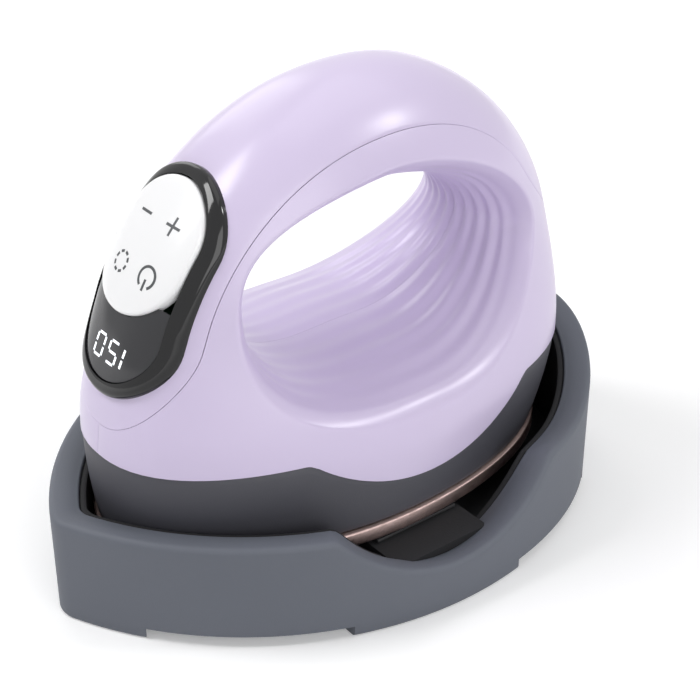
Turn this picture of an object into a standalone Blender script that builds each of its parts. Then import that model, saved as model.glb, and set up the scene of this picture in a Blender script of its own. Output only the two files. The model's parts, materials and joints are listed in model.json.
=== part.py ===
"""Mini handheld heat press standing in its safety base.

Metres, +Z up. The nose with the control panel points along -Y, the tail along +Y.
The origin lies on the ground under the middle of the base, and x = 0 is the mirror plane.
The body is one smooth form, half_width(y, z). Shells, cover, skirt and panel are all cut from it.
"""
import math

import bmesh
import bpy
from mathutils import Matrix, Vector

# Fits
FIT = 0.0003
OVERRUN = 0.003
WELD = 0.000001
PROBE = 0.0002
UNIT = 1.0

# Body form: side profile
CROWN_Z = 0.1000
CROWN_Y = 0.0080
NOSE_REACH = 0.0625
NOSE_FULL_Z = 0.0275
NOSE_UNDERCUT = 0.0660
NOSE_ARCH = 1.95
TAIL_REACH = 0.0500
TAIL_FULL_Z = 0.0415
TAIL_UNDERCUT = 0.0490

# Body form: half widths, and how fine the nose and tail are in plan at each height
GRIP_HALF = 0.0244
FOOT_HALF = 0.0325
FLARE_TOP_Z = 0.0620
FLARE_FOOT_Z = 0.0300
SHOULDER_Z = 0.0637
NOSE_FINE_FOOT = 1.10
NOSE_FINE_EDGE = 0.80
NOSE_FINE_PANEL = 0.66
NOSE_FINE_CROWN = 0.64
NOSE_EDGE_Z = 0.0400
NOSE_PANEL_Z = 0.0620
TAIL_FINE = 0.78

# Hand hole: rim, rolled lip, waist and finger ridges
HOLE_Y = 0.00475
HOLE_Z = 0.06125
HOLE_HALF_LENGTH = 0.03775
HOLE_HALF_HEIGHT = 0.02395
HOLE_ROUND = 1.75
HOLE_FULLNESS = 0.95
HOLE_FULL_DEG = 225.0
LIP_IN = 0.0028
LIP_DEEP = 0.0032
LIP_OUT = 0.0022
WAIST = 0.0040
RIDGE = 0.0006
RIDGES_PER_SIDE = 5

# Shells
SHELL_WALL = 0.0020
EDGE_Z = 0.0340
LOBE_Y = 0.0040
LOBE_FOOT_Z = 0.0237
LOBE_RADIUS = 0.0436
TONGUE = 0.0012
TONGUE_SEAM = 0.0016
TONGUE_EDGE = 0.0010

# Spine cover: seam half width, and the half ellipses that close it at nose and tail
SEAM_HALF = 0.0164
SEAM_ROUND = 0.0174
SEAM_NOSE_Z = 0.0580
SEAM_TAIL_Z = 0.0738

# Control panel, drawn on the chord of the nose profile
PANEL_FOOT_Z = 0.0470
PANEL_TOP_Z = 0.0867
PANEL_DEPTH = 0.0090
BEZEL_HALF = 0.0145
BEZEL_RISE = 0.0015
BEZEL_BEVEL = 0.0009
BEZEL_FLANGE = 0.0012
BEZEL_RIM = 0.0026
BEZEL_PLUG = 0.0032
KEY_HALF = 0.0116
KEY_HALF_LENGTH = 0.01395
KEY_MIDDLE = 0.00655
KEY_RISE = 0.0020
KEY_THICK = 0.0022
KEY_EDGE = 0.0006
KEY_COLUMN = 0.0048
KEY_ROW_TOP = 0.0117
KEY_ROW_LOW = 0.00125
KEY_TRAVEL = 0.00035
STEM_RADIUS = 0.0012
STEM_CLEAR = 0.0006
WINDOW_RISE = 0.0011
WINDOW_THICK = 0.0012
WINDOW_HORN_SHARE = 0.8
DIGIT_MIDDLE = -0.0145

# Electronics behind the panel
BOARD_THICK = 0.0012
BOARD_FACE = -0.0020
SWITCH_HALF = 0.0018
SWITCH_TALL = 0.0016
SWITCH_EDGE = 0.0003
DISPLAY_HALF = 0.0062
DISPLAY_HALF_TALL = 0.0034

# Skirt
SKIRT_STEP = 0.0003
LEDGE_TOP_Z = 0.0223
LEDGE_THICK = 0.0016
LEDGE_REACH = 0.0045

# Sole plate. Margins are measured inwards from the plate's nose, tail or side
PLATE_FOOT_Z = 0.0126
PLATE_THICK = 0.0033
PLATE_PROUD = 0.0006
PLATE_BEVEL = 0.0005
PLATE_REST = 0.0090
POST_RADIUS = 0.0030
POST_NOSE_MARGIN = 0.0155
POST_TAIL_MARGIN = 0.0136
POST_SIDE_MARGIN = 0.0100
POST_SIDE_Y = 0.0050

# Heater stack
TUBE_RADIUS = 0.00205
TUBE_SIDE_MARGIN = 0.0195
TUBE_BEND_MARGIN = 0.0365
TUBE_TAIL_MARGIN = 0.0176
PAD_INSET = 0.0075
PAD_THICK = 0.0017
SHIELD_INSET = 0.0042
SHIELD_THICK = 0.0008
SHIELD_NOSE_MARGIN = 0.0110
SHIELD_TAIL_MARGIN = 0.0086
FUSE_RADIUS = 0.0017
FUSE_HALF = 0.0050
FUSE_Y = -0.0060
SENSOR_RADIUS = 0.0014
SENSOR_HALF = 0.0035
SENSOR_Y = 0.0120
CLIP_THICK = 0.0006
CLIP_HALF = 0.0015
CLIP_FOOT = 0.0024
LEAD_RADIUS = 0.0008
LEAD_HOLE = 0.0016
LEAD_MARGIN = 0.0128
LEAD_CLEAR = 0.0020
LEAD_TOP_SHARE = 0.55

# Screws
SCREW_RADIUS = 0.0014
SCREW_HEAD = 0.0026
SCREW_HEAD_TALL = 0.0016
SCREW_HOLE = 0.0018
SCREW_GRIP = 0.0045
SMALL_RADIUS = 0.0009
SMALL_HEAD = 0.0017
SMALL_HEAD_TALL = 0.0012
SMALL_HOLE = 0.0013
HEAD_SIDE_SHARE = 0.6
HEAD_TOP_SHARE = 0.7
BOSS_RADIUS = 0.0020
BOSS_INSET = 0.0049
BOSS_TOP_Z = 0.0400
BOSS_GRIP = 0.0080
BOSS_NOSE_DEG = 24.0
BOSS_TAIL_DEG = 158.0
FIN_THICK = 0.0014
FIN_LIFT = 0.0008

# Power board and its parts
POWER_SIDE_MARGIN = 0.0135
POWER_NOSE_MARGIN = 0.0315
POWER_TAIL_MARGIN = 0.0146
POWER_THICK = 0.0016
POWER_CORNER = 0.0030
STANDOFF_TALL = 0.0045
STANDOFF_RADIUS = 0.0026
STANDOFF_MARGIN = 0.0036
TERMINAL_GAP = 0.0038
TERMINAL_DEEP = 0.0075
TERMINAL_TALL = 0.0080
TERMINAL_MARGIN = 0.0020
CAPACITOR_SIZE = (0.0130, 0.0060, 0.0065)
CAPACITOR_SHARE = 0.69
LINE_FUSE_RADIUS = 0.0024
LINE_FUSE_HALF = 0.0075
LINE_FUSE_SHARE = 0.55
TRIAC_SIZE = (0.0100, 0.0150, 0.0044)
TRIAC_X = -0.0100
TRIAC_MARGIN = 0.0140
BUZZER_RADIUS = 0.0046
BUZZER_TALL = 0.0052
BUZZER_X = 0.0085
BUZZER_MARGIN = 0.0110
TILT_RADIUS = 0.0021
TILT_HALF = 0.0045
TILT_SHARE = 0.405
PART_EDGE = 0.0005
RIBBON_HALF = 0.0040
RIBBON_THICK = 0.0005
RIBBON_SPAN = 0.0060
RIBBON_START = -0.0120

# Cord inlet
GLAND_Z = 0.0445
GLAND_BORE = 0.0030
GLAND_BODY = 0.0044
GLAND_FLANGE = 0.0060
GLAND_FLANGE_THICK = 0.0012
GLAND_PROUD = 0.0002
GLAND_PLAY = 0.0008

# Safety base: a teardrop outline of two side arcs, a nose arc and a half ellipse, set by
# the room that it leaves round the plate
BASE_SIDE_ROOM = 0.0138
BASE_NOSE_ROOM = 0.0115
BASE_TAIL_ROOM = 0.0144
BASE_WIDEST_Y = 0.0035
BASE_NOSE_RADIUS = 0.0064
BASE_NOSE_INNER = 0.0045
BASE_RIM_Z = 0.0232
BASE_TAIL_RIM_Z = 0.0325
BASE_TAIL_RISE = 0.0290
BASE_NOTCH_Z = 0.0104
BASE_NOTCH_RADIUS = 0.0336
BASE_NOTCH_BLEND = 0.0016
BASE_RIM_WIDE = 0.0054
BASE_RIM_SPREAD = 0.0030
BASE_RIM_DROP = 0.0008
BASE_RIM_SLOPE = 0.0022
BASE_RIM_ROUND = 0.0012
BASE_FLOOR_Z = 0.0045
BASE_UNDER_Z = 0.0025
BASE_SOLE = 0.0036
BASE_FOOT_ROUND = 0.0008
BASE_NOSE_FOOT = 0.0090
BASE_SIDE_FOOT_NOSE_Y = -0.0235
BASE_SIDE_FOOT_TAIL_Y = 0.0165
BASE_TAIL_FOOT = 0.0150
LEDGE_PAD_THICK = 0.0007
SIDE_LEDGE_NOSE_Y = -0.0120
SIDE_LEDGE_TAIL_Y = 0.0110
END_LEDGE_HALF = 0.0070
LEDGE_UNDER_SIDE = 0.0045
LEDGE_UNDER_NOSE = 0.0115
LEDGE_UNDER_TAIL = 0.0066
LEDGE_EMBED = 0.0012
LEDGE_WALLS = ((0, 0, 1, 0), (1, 0, 0, 0), (0, 1, 0, 0), (0, 0, 0, 1))
LINER_THICK = 0.0012
LINER_DROP = 0.0006

# Facets
FAN_STEPS = (2, 5, 10, 4, 3, 6, 8, 6)
PLAN_STEPS = 18
BASE_STEPS = (4, 13, 11)
STADIUM_STEPS = 9
STADIUM_SIDES = 5
ROUND_SIDES = 16
SMALL_SIDES = 10
STANDOFF_SIDES = 6
SEARCHES = 40
SMOOTH_DEG = 35.0


class Finish:
    """Name, colour and surface of one material."""

    def __init__(self, name, color, roughness, metallic=0.0):
        self.name = name
        self.color = color
        self.roughness = roughness
        self.metallic = metallic

    def material(self):
        """Return the material, made once."""
        found = bpy.data.materials.get(self.name)
        if found:
            return found
        made = bpy.data.materials.new(self.name)
        made.use_nodes = True
        shader = made.node_tree.nodes["Principled BSDF"]
        shader.inputs["Base Color"].default_value = (*self.color, UNIT)
        shader.inputs["Roughness"].default_value = self.roughness
        shader.inputs["Metallic"].default_value = self.metallic
        return made


LILAC = Finish("lilac_plastic", (0.62, 0.52, 0.78), 0.30)
BASE_GREY = Finish("base_grey", (0.13, 0.145, 0.16), 0.60)
SKIRT_GREY = Finish("skirt_grey", (0.075, 0.075, 0.088), 0.45)
LINER_BLACK = Finish("liner_black", (0.01, 0.01, 0.01), 0.85)
PAD_BLACK = Finish("silicone_black", (0.02, 0.02, 0.02), 0.70)
ROSE_METAL = Finish("rose_gold", (0.60, 0.38, 0.31), 0.30, 1.0)
GLOSS_BLACK = Finish("gloss_black", (0.006, 0.006, 0.007), 0.12)
WINDOW_SMOKE = Finish("window_smoke", (0.07, 0.07, 0.075), 0.15)
KEY_WHITE = Finish("key_white", (0.86, 0.86, 0.87), 0.25)
STEEL = Finish("bright_steel", (0.55, 0.55, 0.56), 0.30, 1.0)
TUBE_STEEL = Finish("element_steel", (0.35, 0.33, 0.30), 0.40, 1.0)
FIBRE = Finish("ceramic_fibre", (0.80, 0.78, 0.72), 0.95)
BOARD_GREEN = Finish("board_green", (0.03, 0.20, 0.08), 0.45)
CHIP_BLACK = Finish("chip_black", (0.03, 0.03, 0.03), 0.50)
CAP_BLUE = Finish("capacitor_blue", (0.05, 0.15, 0.45), 0.40)
FUSE_GLASS = Finish("fuse_body", (0.70, 0.72, 0.70), 0.20)
LEAD_WHITE = Finish("lead_white", (0.80, 0.80, 0.78), 0.60)
TERMINAL = Finish("terminal_grey", (0.55, 0.58, 0.55), 0.50)


def clear_scene():
    """Remove every object of the scene."""
    for thing in list(bpy.data.objects):
        bpy.data.objects.remove(thing, do_unlink=True)


def finish_object(name, bm, finish, smooth=True):
    """Close the bmesh into an object with its material."""
    bmesh.ops.recalc_face_normals(bm, faces=bm.faces)
    mesh = bpy.data.meshes.new(name)
    bm.to_mesh(mesh)
    bm.free()
    if smooth:
        mesh.shade_smooth()
        mesh.set_sharp_from_angle(angle=math.radians(SMOOTH_DEG))
    thing = bpy.data.objects.new(name, mesh)
    thing.data.materials.append(finish.material())
    bpy.context.scene.collection.objects.link(thing)
    return thing


def place_grid(bm, rings, wrap):
    """Add a grid whose rows are the rings, each closed on itself."""
    count = len(rings[0])
    rows = rings + [rings[0]] if wrap else rings
    last = len(rows) - 1
    made = bmesh.ops.create_grid(bm, x_segments=count, y_segments=last, size=UNIT)
    for vert in made["verts"]:
        column = round((vert.co.x + UNIT) / (UNIT + UNIT) * count) % count
        row = round((vert.co.y + UNIT) / (UNIT + UNIT) * last)
        vert.co = rows[row][column]
    return made["verts"]


def add_loft(bm, rings, wrap=False):
    """Skin through closed rings. The ends are capped, or the last ring meets the first."""
    verts = place_grid(bm, rings, wrap)
    bmesh.ops.remove_doubles(bm, verts=verts, dist=WELD)
    if not wrap:
        edges = [edge for edge in bm.edges if edge.is_boundary]
        bmesh.ops.holes_fill(bm, edges=edges, sides=0)


def loft(name, rings, finish, wrap=False):
    """Return one object skinned through the rings."""
    bm = bmesh.new()
    add_loft(bm, rings, wrap)
    bmesh.ops.dissolve_degenerate(bm, edges=bm.edges, dist=WELD)
    return finish_object(name, bm, finish)


def turned(bm, profile, base, axis, sides):
    """Spin a profile of (radius, along) pairs round the axis through base."""
    turn = Vector((0, 0, UNIT)).rotation_difference(Vector(axis)).to_matrix().to_4x4()
    place = Matrix.Translation(Vector(base)) @ turn
    rings = []
    for radius, along in profile:
        ring = []
        for index in range(sides):
            angle = math.tau * index / sides
            spot = Vector((radius * math.cos(angle), radius * math.sin(angle), along))
            ring.append(place @ spot)
        rings.append(ring)
    add_loft(bm, rings)


def rod(bm, start, end, radius, sides=ROUND_SIDES):
    """Add a round bar from start to end."""
    start = Vector(start)
    axis = Vector(end) - start
    turned(bm, [(radius, 0), (radius, axis.length)], start, axis.normalized(), sides)


def block(bm, low, high):
    """Add a box between two corners."""
    low = Vector(low)
    high = Vector(high)
    size = high - low
    place = Matrix.Translation((low + high) / 2) @ Matrix.Diagonal((*size, UNIT))
    return bmesh.ops.create_cube(bm, size=UNIT, matrix=place)["verts"]


def rounded_block(name, low, high, edge, finish):
    """Return a box with all its edges bevelled."""
    bm = bmesh.new()
    block(bm, low, high)
    soften(bm, bm.edges, edge)
    return finish_object(name, bm, finish)


def soften(bm, edges, width):
    """Bevel the edges by one flat."""
    bmesh.ops.bevel(bm, geom=list(edges), offset=width, segments=1, profile=0.5,
                    affect="EDGES", material=-1)


def place_copies(name, bm, finish, places, smooth=True):
    """Set one mesh at several places, as objects numbered from 1."""
    first = finish_object(name + "_1", bm, finish, smooth)
    first.matrix_world = places[0]
    for index, place in enumerate(places[1:], 2):
        copy = bpy.data.objects.new(f"{name}_{index}", first.data)
        copy.matrix_world = place
        bpy.context.scene.collection.objects.link(copy)


def ride_on(thing, name, spot, direction):
    """Hang a moving piece on an empty that lies on its joint's axis, with Z along the axis."""
    turn = Vector((0, 0, UNIT)).rotation_difference(direction).to_matrix().to_4x4()
    empty = bpy.data.objects.new(name, None)
    empty.matrix_world = Matrix.Translation(spot) @ turn
    bpy.context.scene.collection.objects.link(empty)
    thing.parent = empty
    thing.matrix_parent_inverse = empty.matrix_world.inverted()


def at(spots, z):
    """Upright places at plan spots."""
    return [Matrix.Translation((x, y, z)) for x, y in spots]


def hidden(name, bm):
    """Keep a shape as a cutter that shows as wire only."""
    thing = finish_object(name, bm, PAD_BLACK, smooth=False)
    thing.hide_render = True
    thing.display_type = "WIRE"
    return thing


def combine(target, other, operation):
    """Cut the target by another shape, or fuse the shape to it."""
    step = target.modifiers.new(other.name, "BOOLEAN")
    step.operation = operation
    step.solver = "EXACT"
    step.object = other


def blend(low, high, share):
    """Return the value at a share of the way, with level ends."""
    share = min(max(share, 0.0), 1.0)
    return low + (high - low) * share * share * (3 - 2 * share)


def mix(low, high, share):
    """Return the value at a straight share of the way."""
    return low + (high - low) * share


# Body form


def nose_y(z):
    """Front of the body on the mirror plane at a height."""
    if z < NOSE_FULL_Z:
        fall = min((NOSE_FULL_Z - z) / NOSE_UNDERCUT, 1.0)
        return CROWN_Y - NOSE_REACH * math.sqrt(1 - fall * fall)
    rise = min((z - NOSE_FULL_Z) / (CROWN_Z - NOSE_FULL_Z), 1.0)
    return CROWN_Y - NOSE_REACH * (1 - rise ** NOSE_ARCH) ** (1 / NOSE_ARCH)


def tail_y(z):
    """Back of the body on the mirror plane at a height."""
    span = TAIL_UNDERCUT if z < TAIL_FULL_Z else CROWN_Z - TAIL_FULL_Z
    rise = min(abs(z - TAIL_FULL_Z) / span, 1.0)
    return CROWN_Y + TAIL_REACH * math.sqrt(1 - rise * rise)


def widest_x(z):
    """Greatest half width of the body at a height."""
    share = (FLARE_TOP_Z - z) / (FLARE_TOP_Z - FLARE_FOOT_Z)
    rise = min(max((z - SHOULDER_Z) / (CROWN_Z - SHOULDER_Z), 0.0), 1.0)
    return blend(GRIP_HALF, FOOT_HALF, share) * math.sqrt(1 - rise * rise)


def nose_fineness(z):
    """Exponent of the plan curve of the nose: low is blunt, high is sharp."""
    if z < NOSE_EDGE_Z:
        return mix(NOSE_FINE_FOOT, NOSE_FINE_EDGE, (z - plate_top()) / (NOSE_EDGE_Z - plate_top()))
    if z < NOSE_PANEL_Z:
        share = (z - NOSE_EDGE_Z) / (NOSE_PANEL_Z - NOSE_EDGE_Z)
        return mix(NOSE_FINE_EDGE, NOSE_FINE_PANEL, share)
    return mix(NOSE_FINE_PANEL, NOSE_FINE_CROWN, (z - NOSE_PANEL_Z) / (CROWN_Z - NOSE_PANEL_Z))


def half_width(y, z):
    """Half width of the body at a point of its side view, 0 outside it."""
    if z >= CROWN_Z:
        return 0.0
    front = nose_y(z)
    back = tail_y(z)
    middle = (front + back) / 2
    share = (y - middle) / (back - middle)
    fine = nose_fineness(z) if y < middle else TAIL_FINE
    if abs(share) >= 1:
        return 0.0
    return widest_x(z) * (1 - share * share) ** (fine / 2)


def outward(point):
    """Unit normal of the body's surface at a point on it."""
    y, z = point.y, point.z
    along_y = half_width(y + PROBE, z) ** 2 - half_width(y - PROBE, z) ** 2
    along_z = half_width(y, z + PROBE) ** 2 - half_width(y, z - PROBE) ** 2
    return Vector((4 * PROBE * point.x, -along_y, -along_z)).normalized()


def plan_point(z, angle, depth=0.0):
    """Point of the body's plan outline at a height: angle 0 is the nose, pi the tail."""
    front = nose_y(z)
    back = tail_y(z)
    y = (front + back) / 2 - (back - front) / 2 * math.cos(angle)
    fine = nose_fineness(z) if math.cos(angle) > 0 else TAIL_FINE
    x = widest_x(z) * math.sin(angle) ** fine if 0 < angle < math.pi else 0.0
    point = Vector((x, y, z))
    if not depth:
        return point
    if not x:
        return point + Vector((0, depth if angle < 1 else -depth, 0))
    slope = outward(point)
    level = Vector((slope.x, slope.y, 0)).normalized()
    return point - level * depth


def mirrored_ring(half):
    """Close a half ring that runs from nose to tail with its mirror image."""
    other = [Vector((-spot.x, spot.y, spot.z)) for spot in reversed(half[1:-1])]
    return half + other


def edge_z(y):
    """Height of the line where the shells end and the skirt begins."""
    reach = LOBE_RADIUS * LOBE_RADIUS - (y - LOBE_Y) ** 2
    if reach <= 0:
        return EDGE_Z
    return min(EDGE_Z, LOBE_FOOT_Z + LOBE_RADIUS - math.sqrt(reach))


def lobe_ends():
    """The two places along Y where the lobe leaves the level edge line."""
    fall = LOBE_RADIUS - (EDGE_Z - LOBE_FOOT_Z)
    half = math.sqrt(LOBE_RADIUS ** 2 - fall ** 2)
    return LOBE_Y - half, LOBE_Y + half


# Fan of half planes through the hand hole's axis


def fan_point(angle, reach, x=None):
    """Point at a fan angle and reach, on the body's surface unless x is given."""
    y = HOLE_Y + reach * math.cos(angle)
    z = HOLE_Z + reach * math.sin(angle)
    return Vector((half_width(y, z) if x is None else x, y, z))


def fan_angle(y, z):
    """Fan angle of a point of the side view."""
    return math.atan2(z - HOLE_Z, y - HOLE_Y)


def rim_reach(angle):
    """Reach of the hand hole's rim."""
    lean = 0.5 + 0.5 * math.cos(angle - math.radians(HOLE_FULL_DEG))
    power = HOLE_ROUND + HOLE_FULLNESS * lean * lean
    across = (abs(math.cos(angle)) / HOLE_HALF_LENGTH) ** power
    upright = (abs(math.sin(angle)) / HOLE_HALF_HEIGHT) ** power
    return (across + upright) ** (-1 / power)


def last_inside(angle, inside, start, end):
    """Greatest reach along a fan ray at which the test still holds."""
    for _ in range(SEARCHES):
        middle = (start + end) / 2
        if inside(fan_point(angle, middle)):
            start = middle
        else:
            end = middle
    return start


def seam_half(z, tail, margin):
    """Half width of the spine cover's outline at a height of the nose or tail side."""
    level = SEAM_TAIL_Z if tail else SEAM_NOSE_Z
    if z >= level:
        return SEAM_HALF + margin
    share = (level - z) / (SEAM_ROUND + margin)
    return (SEAM_HALF + margin) * math.sqrt(max(1 - share * share, 0.0))


def seam_reach(angle, margin):
    """Reach at which a fan ray meets the seam, or the mirror plane below it."""
    tail = math.cos(angle) > 0
    mid = FIT / 2

    def inside(point):
        return point.x > max(seam_half(point.z, tail, margin), mid)

    return last_inside(angle, inside, rim_reach(angle), CROWN_Z)


def edge_reach(angle, margin):
    """Reach at which a fan ray meets the shells' lower edge."""

    def inside(point):
        return point.z > edge_z(point.y) + margin and point.x > FIT / 2

    return last_inside(angle, inside, rim_reach(angle), CROWN_Z)


def border_reach(angle, margin):
    """Reach of the side shell's border: the seam above, the lower edge below."""
    return min(seam_reach(angle, margin), edge_reach(angle, margin))


def fan_keys():
    """Fan angles of the shell's corners, from the nose's edge over the top and back."""
    nose_tip = SEAM_NOSE_Z - SEAM_ROUND
    tail_tip = SEAM_TAIL_Z - SEAM_ROUND
    lobe_nose, lobe_tail = lobe_ends()
    corner = EDGE_Z + FIT / 2
    turns = [
        fan_angle(nose_y(corner), corner) + math.tau,
        fan_angle(nose_y(nose_tip), nose_tip) + math.tau,
        fan_angle(nose_y(SEAM_NOSE_Z), SEAM_NOSE_Z) + math.tau,
        fan_angle(tail_y(SEAM_TAIL_Z), SEAM_TAIL_Z),
        fan_angle(tail_y(tail_tip), tail_tip),
        fan_angle(tail_y(corner), corner),
        fan_angle(lobe_tail, EDGE_Z),
        fan_angle(lobe_nose, EDGE_Z),
    ]
    turns.append(turns[0] - math.tau)
    return turns


def fan_angles(first, last):
    """Fan angles from one corner to another, closer together at the seam's round ends."""
    keys = fan_keys()
    angles = []
    for index in range(first, last):
        steps = FAN_STEPS[index]
        for step in range(steps):
            share = step / steps
            if index == 1:
                share = 1 - math.cos(share * math.pi / 2)
            if index == 3:
                share = math.sin(share * math.pi / 2)
            angles.append(mix(keys[index], keys[index + 1], share))
    return angles


def tunnel_reach(angle, share):
    """Reach of the hand tunnel without ridges: share 0 is the mirror plane, 1 the lip."""
    return rim_reach(angle) - LIP_IN - WAIST * (1 - share * share)


def tongue_depth():
    """How far the inner face of a shell's tongue lies under the outer surface."""
    return SHELL_WALL + FIT + TONGUE


def shell_section(angle):
    """Closed section of the right shell in one fan plane."""
    mid = FIT / 2
    rim = rim_reach(angle)
    border = border_reach(angle, mid)
    lip_x = fan_point(angle, rim).x - LIP_DEEP
    lip_out = min(LIP_OUT, (border - rim) / 3)
    section = []
    count = 2 * RIDGES_PER_SIDE
    for step in range(count + 1):
        share = step / count
        ridge = RIDGE if step % 2 else 0.0
        reach = tunnel_reach(angle, share) - ridge
        section.append(fan_point(angle, reach, mix(mid, lip_x, share)))
    start = section[-1]
    corner = fan_point(angle, rim)
    end = fan_point(angle, rim + lip_out)
    for share in (0.3, 0.55, 0.8):
        section.append(start.lerp(corner, share).lerp(corner.lerp(end, share), share))
    surface = []
    for share in (0.0, 0.35, 0.65, 0.87, 1.0):
        surface.append(fan_point(angle, mix(rim + lip_out, border, share)))
    section.extend(surface)
    rim_point = surface[-1]
    step_in = SHELL_WALL + FIT
    tip = rim_point
    if rim_point.x > SEAM_HALF / 8:
        if seam_reach(angle, mid) < edge_reach(angle, mid):
            tip = fan_point(angle, seam_reach(angle, -TONGUE_SEAM))
        else:
            least = rim_point.x / 2
            limit = last_inside(angle, lambda spot: spot.x > least, border, CROWN_Z)
            tip = fan_point(angle, min(border + TONGUE_EDGE, limit))
    thick = tongue_depth()
    for base, depth in ((rim_point, step_in), (tip, step_in), (tip, thick), (surface[3], thick)):
        section.append(base - outward(base) * depth)
    for base in (surface[2], surface[1]):
        section.append(base - outward(base) * SHELL_WALL)
    inner = surface[0] - outward(surface[0]) * SHELL_WALL
    section.append(inner)
    for share in (0.75, 0.4, 0.0):
        reach = tunnel_reach(angle, share) + SHELL_WALL
        section.append(fan_point(angle, reach, mix(mid, lip_x - LIP_IN, share)))
    for spot in section:
        spot.x = max(spot.x, mid)
    return section


def side_shell(name, side):
    """Make a side shell: 1 is the right one, -1 the left one."""
    sections = [shell_section(angle) for angle in fan_angles(0, len(FAN_STEPS))]
    rings = []
    for index in range(len(sections[0])):
        rings.append([Vector((side * one[index].x, *one[index].yz)) for one in sections])
    shell = loft(name, rings, LILAC, wrap=True)
    bosses = screw_bosses(name, side)
    combine(bosses, boss_fins(name, side), "UNION")
    combine(shell, bosses, "UNION")
    combine(shell, boss_holes(name, side), "DIFFERENCE")
    combine(shell, gland_seat(name), "DIFFERENCE")
    return shell


def boss_spots(side):
    """Centres of the two screw bosses of one side, on the skirt's ledge."""
    spots = []
    lowest = LEDGE_TOP_Z - LEDGE_THICK - FIT - SMALL_HEAD_TALL
    for degrees in (BOSS_NOSE_DEG, BOSS_TAIL_DEG):
        spot = plan_point(lowest, math.radians(degrees), BOSS_INSET)
        spots.append(Vector((side * spot.x, spot.y, LEDGE_TOP_Z)))
    return spots


def screw_bosses(name, side):
    """Columns inside a shell that the skirt's screws bite into."""
    bm = bmesh.new()
    for spot in boss_spots(side):
        rod(bm, (spot.x, spot.y, spot.z + FIT), (spot.x, spot.y, BOSS_TOP_Z), BOSS_RADIUS, SMALL_SIDES)
    return hidden(name + "_bosses", bm)


def boss_fins(name, side):
    """Upright fins that tie the screw bosses to the shell's wall."""
    bm = bmesh.new()
    for spot, degrees in zip(boss_spots(side), (BOSS_NOSE_DEG, BOSS_TAIL_DEG)):
        wall = plan_point(BOSS_TOP_Z, math.radians(degrees), SHELL_WALL / 2)
        start = Vector((spot.x, spot.y, 0))
        end = Vector((side * wall.x, wall.y, 0))
        across = (end - start).normalized().cross(Vector((0, 0, UNIT))) * (FIN_THICK / 2)
        rings = []
        for z in (EDGE_Z + FIN_LIFT, BOSS_TOP_Z - FIN_LIFT):
            up = Vector((0, 0, z))
            rings.append([start + across + up, end + across + up, end - across + up, start - across + up])
        add_loft(bm, rings)
    return hidden(name + "_fins", bm)


def boss_holes(name, side):
    """Blind holes up the bosses."""
    bm = bmesh.new()
    for spot in boss_spots(side):
        low = (spot.x, spot.y, spot.z - OVERRUN)
        rod(bm, low, (spot.x, spot.y, spot.z + BOSS_GRIP + FIT), SMALL_HOLE, SMALL_SIDES)
    return hidden(name + "_holes", bm)


def gland_seat(name):
    """Round opening at the tail that the cord gland is clamped in."""
    bm = bmesh.new()
    back = tail_y(GLAND_Z)
    start = (0, back - tongue_depth() - gland_recess() - OVERRUN, GLAND_Z)
    rod(bm, start, (0, back + OVERRUN, GLAND_Z), GLAND_BODY + FIT)
    return hidden(name + "_gland_seat", bm)


def cover_section(angle):
    """Closed section of the spine cover in one fan plane, from left to right and back."""
    reach = seam_reach(angle, -FIT / 2)
    half = max(fan_point(angle, reach).x, SEAM_HALF / 6)
    outer = []
    for share in (-1.0, -0.88, -0.6, -0.3, 0.0, 0.3, 0.6, 0.88, 1.0):
        x = half * share
        wanted = max(abs(x), PROBE)
        ray = last_inside(angle, lambda spot: spot.x > wanted, rim_reach(angle), CROWN_Z)
        spot = fan_point(angle, ray)
        spot.x = x
        outer.append(spot)
    inner = [spot - outward(spot) * SHELL_WALL for spot in reversed(outer)]
    return outer + inner


def spine_cover():
    """Make the cover that closes the body over nose, crown and tail."""
    angles = fan_angles(1, 4)[1:]
    sections = [cover_section(angle) for angle in angles]
    cover = loft("spine_cover", sections, LILAC)
    bm = bmesh.new()
    outline = stadium(BEZEL_HALF - BEZEL_FLANGE, panel_half() - BEZEL_FLANGE, 0)
    add_loft(bm, [prism_ring(outline, -PANEL_DEPTH), prism_ring(outline, PANEL_DEPTH)])
    combine(cover, hidden("panel_cutout", bm), "DIFFERENCE")
    return cover


# Panel: x across, u up the chord, n out of it


def panel_ends():
    """Lower and upper end of the panel's chord, both on the nose's profile."""
    return [Vector((0, nose_y(z), z)) for z in (PANEL_FOOT_Z, PANEL_TOP_Z)]


def panel_frame():
    """Middle of the panel's chord, its upward direction and its outward direction."""
    foot, top = panel_ends()
    upward = (top - foot).normalized()
    return (foot + top) / 2, upward, Vector((0, -upward.z, upward.y))


def panel_half():
    """Half the length of the panel's chord."""
    foot, top = panel_ends()
    return (top - foot).length / 2


def panel_flat(x, u, n):
    """Point of the panel frame."""
    middle, upward, normal = panel_frame()
    return middle + Vector((x, 0, 0)) + upward * u + normal * n


def panel_height(x, u):
    """Height of the body's surface above the chord plane."""
    low, high = -PANEL_DEPTH, PANEL_DEPTH
    for _ in range(SEARCHES):
        middle = (low + high) / 2
        spot = panel_flat(x, u, middle)
        if half_width(spot.y, spot.z) > abs(x):
            low = middle
        else:
            high = middle
    return low


def panel_point(x, u, rise):
    """Point over the body's surface, measured square to the chord."""
    return panel_flat(x, u, panel_height(x, u) + rise)


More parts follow.
